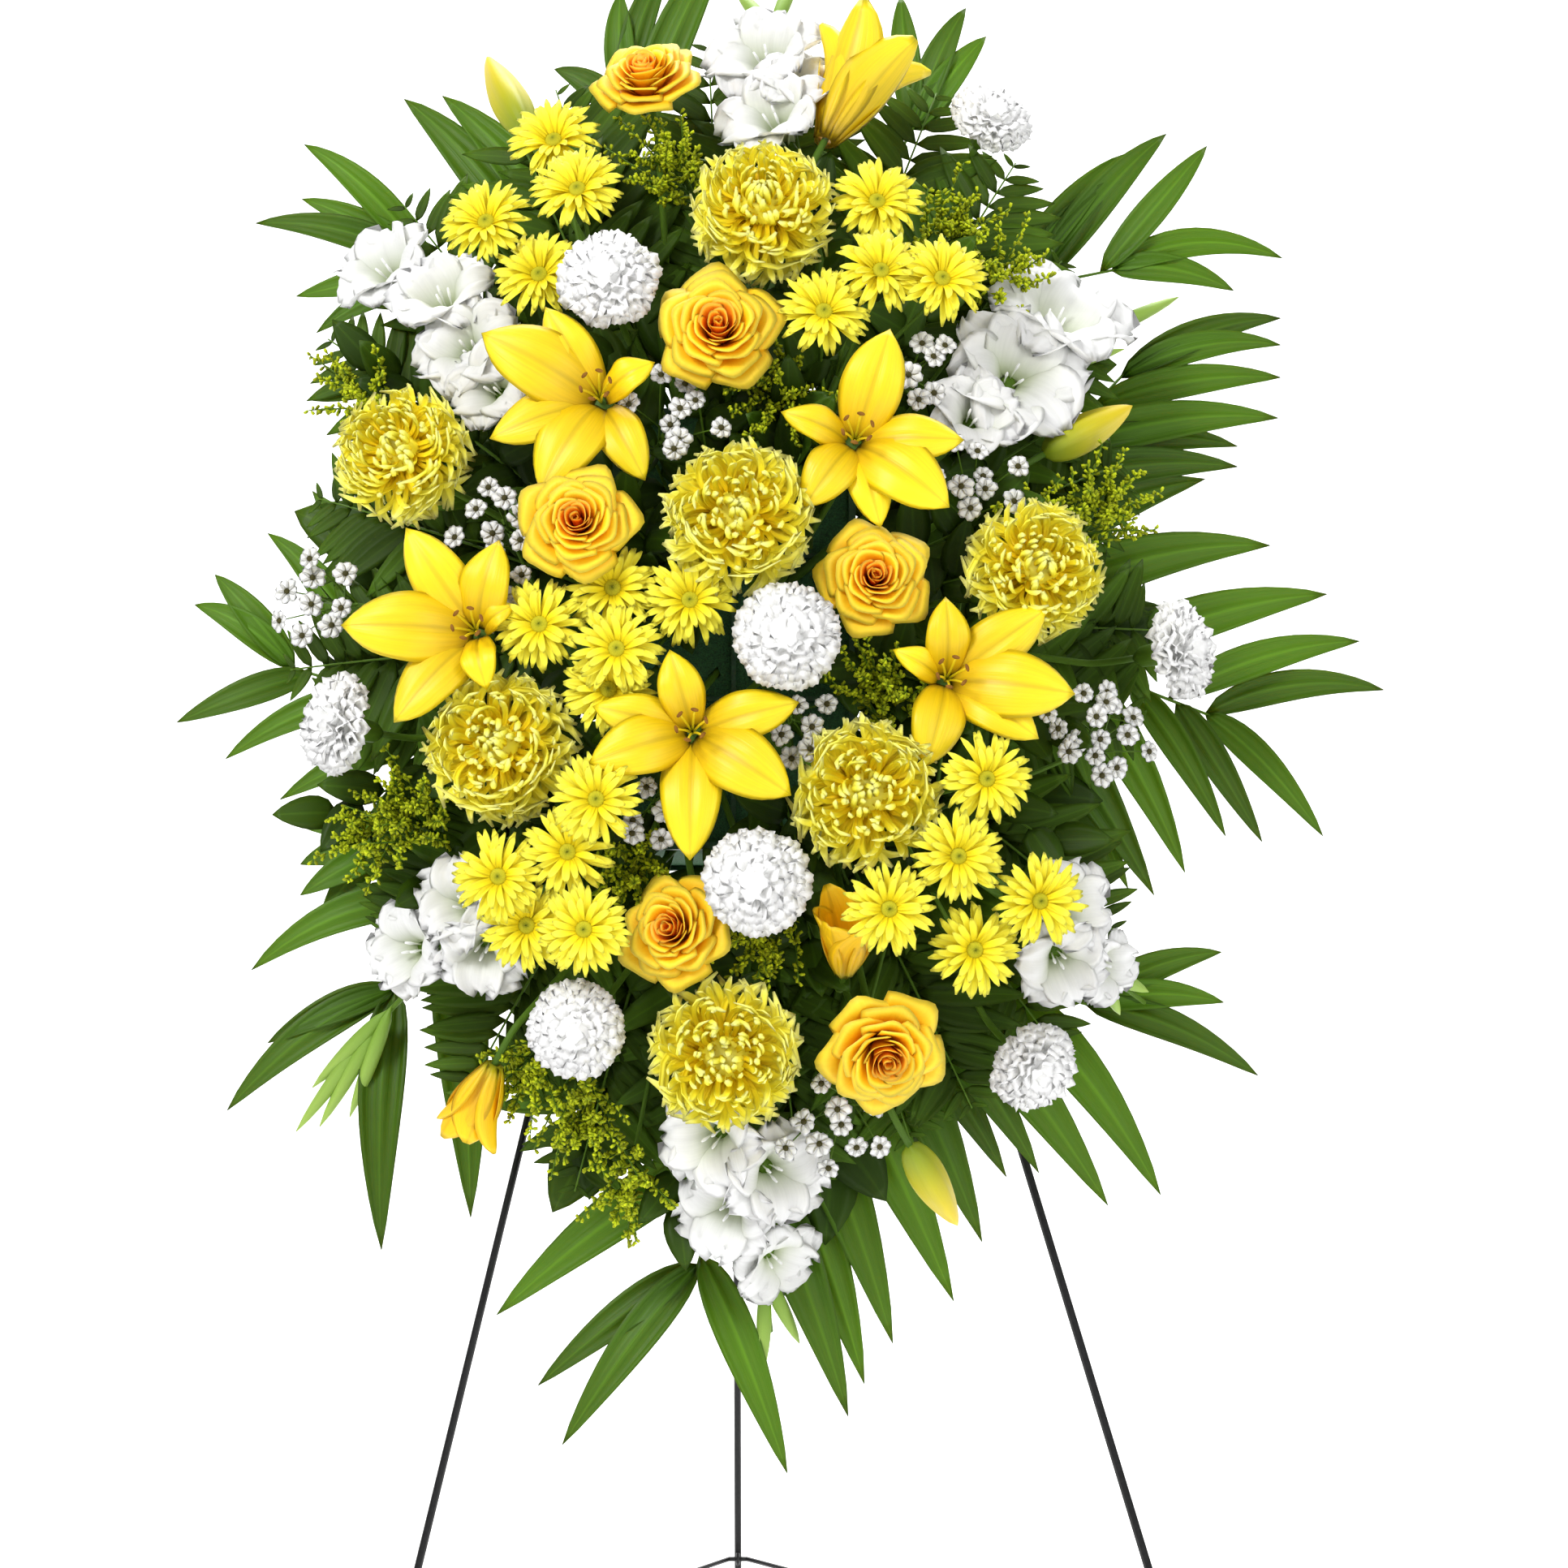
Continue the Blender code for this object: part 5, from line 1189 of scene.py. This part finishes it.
# %% [markdown]
# ## Dark fern and leaf filling
# Between the flowers the photograph shows only dark green: fern tips and small oval leaves. Florists
# set them first, straight into the foam, and the flowers hide their stems. They have no solids of
# their own. They stand in seeded spirals, which are even without looking laid out, and a leaf is
# left out where it would poke through the foam, a flower or the folded leg.
# Their near-black green is partly their own colour and partly painted shade of the deep gaps.

# %% Room for the leaves
FOAM_MARGIN = 0.014
FOAM_INSET = 0.006
LEAST_OUT = 0.06
FLOWER_ROOM = 0.036
BACK_LEG_X = APEX[0] - 0.006
LEG_ROOM = 0.040


def foam_face_point(away):
    """Point just inside the foam's surface on the way towards a place in the spray."""
    across, up, out = (away - FOAM_CENTRE) @ RIGHT, (away - FOAM_CENTRE) @ UP, (away - FOAM_CENTRE) @ OUT
    way = np.array([across, up, max(out, LEAST_OUT)])
    reach = (FOAM_HALF - FOAM_INSET) / np.maximum(np.abs(way), 1e-6)
    spot = way * reach.min()
    return FOAM_CENTRE + RIGHT * spot[0] + UP * spot[1] + OUT * spot[2]


def has_room(places):
    """Which places on leaves are clear of the foam block as far out as its front, of buds and
    florets, and of the back leg, which lies close behind the front legs when it is folded."""
    away = np.abs((places - FOAM_CENTRE) @ np.stack([RIGHT, UP], 1))
    low = (places - FOAM_CENTRE) @ OUT < FOAM_HALF[2]
    near_flower = np.linalg.norm(places[:, None] - np.array(clear_spots), axis=-1).min(1) < FLOWER_ROOM
    near_leg = (np.abs(places[:, 0] - BACK_LEG_X) < LEG_ROOM) & ((places - APEX) @ OUT < 0)
    return ~((away < FOAM_HALF[:2] + FOAM_MARGIN).all(1) & low) & ~near_flower & ~near_leg


print("room at the foam's own centre:", bool(has_room(FOAM_CENTRE[None])[0]))

# %% A fern frond and a leafy sprig
FERN_LEAFLET = 0.062


def fern_frond(root, tip, rng, pairs=15):
    """Arching midrib with pairs of narrow leaflets that shorten towards the tip."""
    knee = (root + tip) / 2 + OUT * 0.035
    line = curve(root, knee, tip, 14)
    share = np.repeat(np.linspace(0.28, 0.985, pairs), 2)
    spots = on_lines(line, share)[0]
    ahead = unit(on_lines(line, np.minimum(share + 0.02, 1.0))[0] - spots + 1e-9)
    side = unit(np.cross(ahead, OUT)) * np.where(np.arange(2 * pairs) % 2, 1.0, -1.0)[:, None]
    size = FERN_LEAFLET * np.sin(math.pi * (0.18 + 0.80 * share ** 1.4)) ** 0.8
    tips = spots + (side + 0.62 * ahead + 0.10 * rng.normal(size=side.shape)) * size[:, None]
    clear = has_room(tips) & has_room((spots + tips) / 2)
    front = leaf_blades(spots[clear], tips[clear], 0.13, 0.05, arch=0.03, rows=7, columns=5)
    return [(tubes(line, np.linspace(0.0016, 0.0006, 14), 6), STEM),
            (sheets(front, 0.0004, rng.random(len(front))), FERN)]


def leafy_sprig(root, tip, rng, count=9, size=0.046, wide=0.26):
    """Thin woody stem with oval leaves turned every way and a leaf at its end."""
    line = curve(root, (root + tip) / 2 + OUT * 0.02, tip, 8)
    share = np.linspace(0.35, 1.0, count)
    spots = on_lines(line, share)[0]
    ahead = unit(tip - root)
    a = GOLDEN * np.arange(count) + rng.random() * 6
    side = RIGHT * np.cos(a)[:, None] + UP * np.sin(a)[:, None] + OUT * 0.25
    tips = spots + unit(side + 0.4 * ahead + (share[:, None] ** 6) * ahead * 2) * size
    clear = has_room(tips) & has_room((spots + tips) / 2)
    if not clear.any():
        return []
    front = leaf_blades(spots[clear], tips[clear], wide, 0.03, arch=0.05, rows=8, columns=5)
    return [(tubes(line, np.linspace(0.0015, 0.0007, 8), 6), STEM),
            (sheets(front, 0.0005, rng.random(len(front))), LEAF)]


# %% Ferns round the edge
FERN_ENDS = 26
rng = np.random.default_rng(900)
angle = np.arange(FERN_ENDS) * 2 * math.pi / FERN_ENDS + 0.07 * rng.normal(size=FERN_ENDS)
reach_out = 0.86 + 0.10 * rng.random(FERN_ENDS)
fern_pixels = SPRAY_PIXEL + SPRAY_HALF * np.stack([np.cos(angle), np.sin(angle)], 1) * reach_out[:, None]
ferns = []
for k, pixel in enumerate(fern_pixels):
    rng = np.random.default_rng(910 + k)
    tip = seen(pixel, 0.052 + 0.03 * rng.random())
    ferns += fern_frond(foam_face_point(tip), tip, rng)
build("ferns", ferns)
print("ferns:", triangles_of("ferns"), "triangles")

# %% Large leaves behind the flowers
BACK_LEAVES, BACK_REACH = 64, 0.74
BACK_LEAF, BACK_WIDTH = 0.068, 0.30
back_pixels = cluster_spots((0.0, 0.0), 1.0, BACK_LEAVES, np.random.default_rng(940))
backing = []
for k, pixel in enumerate(back_pixels * SPRAY_HALF * BACK_REACH + SPRAY_PIXEL):
    rng = np.random.default_rng(1000 + k)
    tip = seen(pixel, 0.022 + 0.03 * rng.random())
    backing += leafy_sprig(foam_face_point(tip), tip, rng, size=BACK_LEAF, wide=BACK_WIDTH)
build("backing_leaves", backing)
print("backing leaves:", triangles_of("backing_leaves"), "triangles")

# %% Small leafy sprigs between the flowers
SPRIGS, SPRIG_REACH, SPRIG_SINK = 34, 0.80, 0.055
sprig_pixels = cluster_spots(SPRAY_PIXEL, 1.0, SPRIGS, np.random.default_rng(950))
sprigs = []
for k, pixel in enumerate(SPRAY_PIXEL + (sprig_pixels - SPRAY_PIXEL) * SPRAY_HALF * SPRIG_REACH):
    tip = seen(pixel, dome(pixel) - SPRIG_SINK)
    sprigs += leafy_sprig(foam_face_point(tip), tip, np.random.default_rng(960 + k))
build("sprigs", sprigs)
print("sprigs:", triangles_of("sprigs"), "triangles")

# %% Small clouds of goldenrod and asters in the gaps
GOLD_CLOUDS = ((430, 475), (1250, 330), (440, 1040), (640, 1340), (770, 1480), (1290, 650), (775, 1085))
STAR_CLOUDS = ((800, 1000), (1130, 450), (610, 730), (980, 890), (1330, 880))
CLOUD_SINK = 0.06
clouds = []
for k, middle in enumerate(GOLD_CLOUDS + STAR_CLOUDS):
    adorn, count, spread = (gold_specks, 13, 62) if middle in GOLD_CLOUDS else (aster_stars, 7, 46)
    root = foam_face_point(seen(middle, dome(middle) - CLOUD_SINK))
    clouds += cloud(middle, root, spread, count, adorn, np.random.default_rng(1100 + k))
build("small_clouds", clouds)
print("small clouds:", triangles_of("small_clouds"), "triangles")

# %% [markdown]
# ## Easel, cage and foam
# The easel's solids are right as they are, so they only get their finish: black enamel on wire,
# with the fine orange-peel of a dipped coat. The foam is open cells, dark because it is wet. One
# noise drives the colour, the roughness and the relief of each, so that they agree with each other.

# %% Finishes of the hard parts
NOISE_DETAIL = 5.0
NOISE_LOW, NOISE_HIGH = 0.35, 0.65


def noisy_finish(name, dark, light, scale, rough, bump, depth):
    """Material whose colour, roughness and relief all follow one noise in object space."""
    material, tree, shader = new_finish(name)
    noise = object_noise(tree, scale, NOISE_DETAIL)
    colour = colour_ramp(tree, noise, ((NOISE_LOW, dark), (NOISE_HIGH, light)))
    tree.links.new(colour, shader.inputs["Base Color"])
    rough_and_bumpy(tree, shader, noise, rough, noise, bump, depth)
    return material


ENAMEL = noisy_finish("black_enamel", (0.004, 0.004, 0.0045), (0.009, 0.009, 0.0095), 420, (0.30, 0.48), 0.3,
                      0.0002)
ENAMEL.node_tree.nodes["Principled BSDF"].inputs["Specular IOR Level"].default_value = 0.3
PLASTIC = noisy_finish("green_plastic", (0.012, 0.05, 0.02), (0.02, 0.08, 0.03), 260, (0.4, 0.6), 0.3, 0.0003)
FOAM = noisy_finish("wet_foam", (0.01, 0.05, 0.015), (0.03, 0.13, 0.04), 900, (0.7, 0.95), 0.9, 0.001)
for names, material in ((("left_leg", "right_leg", "hanging_bar", "back_leg", "spreader"), ENAMEL),
                        (("cage",), PLASTIC), (("foam",), FOAM)):
    for node in names:
        slots = nodes[node].data.materials
        for index in range(len(slots)):
            slots[index] = material
print("finished", len(nodes), "solids")

# %% [markdown]
# ## The white studio
# The photograph was taken against pure white. A floor and a wall curve into each other, large soft
# lamps light them evenly, and the camera looks level from the photographer's place. A plain white
# background would be simpler, but then nothing would show the object's shadow and weight.

# %% Floor and wall


def studio_floor(near=-5.5, far=6.5, side=7.0, rise=6.5, bend=2.5, rows=40, columns=9):
    """Cove: a floor that turns up through a quarter circle into a wall, carried along x."""
    t = np.linspace(0, math.pi / 2, rows - 2)
    y = np.concatenate([[near], far - bend + bend * np.sin(t), [far]])
    z = np.concatenate([[0.0], bend - bend * np.cos(t), [rise]])
    x = np.linspace(-side, side, columns)
    points = np.stack([np.broadcast_to(x, (rows, columns)), np.repeat(y[:, None], columns, 1),
                       np.repeat(z[:, None], columns, 1)], -1)
    mesh = bpy.data.meshes.new("studio_floor")
    mesh.from_pydata(points.reshape(-1, 3).tolist(), [], grid_faces(rows, columns)[:, ::-1].tolist())
    mesh.polygons.foreach_set("use_smooth", np.ones(len(mesh.polygons), bool))
    floor = bpy.data.objects.new("studio_floor", mesh)
    bpy.context.scene.collection.objects.link(floor)
    return floor


WHITE = noisy_finish("white_paper", (0.90, 0.90, 0.90), (0.93, 0.93, 0.93), 3.0, (0.85, 0.95), 0.02, 0.001)
floor = studio_floor()
floor.data.materials.append(WHITE)
print("the cove spans", [round(x, 1) for x in floor.dimensions], "m")

# %% Lamps


def soft_lamp(name, place, target, size, power):
    """Square soft lamp that shines from a place towards a target."""
    lamp = bpy.data.lights.new(name, "AREA")
    lamp.size = size
    lamp.energy = power
    lit = bpy.data.objects.new(name, lamp)
    bpy.context.scene.collection.objects.link(lit)
    back = unit(np.array(place) - np.array(target))
    across = unit(np.cross([0.0, 0.0, 1.0], back))
    turn = np.stack([across, np.cross(back, across), back], 1)
    matrix = np.eye(4)
    matrix[:3, :3], matrix[:3, 3] = turn, place
    lit.matrix_world = Matrix(matrix.tolist())
    return lit


soft_lamp("key_lamp", (-1.7, -2.8, 3.0), (0.0, 0.0, 0.95), 1.2, 86)
soft_lamp("fill_lamp", (2.2, -2.8, 1.7), (0.0, 0.0, 0.9), 2.0, 30)
soft_lamp("back_lamp", (0.4, 2.4, 5.4), (0.0, 5.2, 0.6), 4.0, 520)

ROOM_LIGHT = 0.55
world = bpy.data.worlds.new("white_room")
world.use_nodes = True
world.node_tree.nodes["Background"].inputs["Color"].default_value = (1.0, 1.0, 1.0, 1.0)
world.node_tree.nodes["Background"].inputs["Strength"].default_value = ROOM_LIGHT
bpy.context.scene.world = world
bpy.context.scene.view_settings.view_transform = "Standard"
print(len(bpy.data.lights), "lamps and a room of", ROOM_LIGHT)

# %% Camera
SENSOR = 36.0
lens = bpy.data.cameras.new("camera")
lens.sensor_width = SENSOR
lens.lens = SENSOR / 2 / (FRAME_WIDTH / 2 * PIXEL / VIEW_DISTANCE)
camera = bpy.data.objects.new("camera", lens)
camera.location = tuple(EYE)
camera.rotation_euler = (math.pi / 2, 0.0, 0.0)
bpy.context.scene.collection.objects.link(camera)
bpy.context.scene.camera = camera
print("camera at", EYE.round(3), "lens", round(lens.lens, 1), "mm")
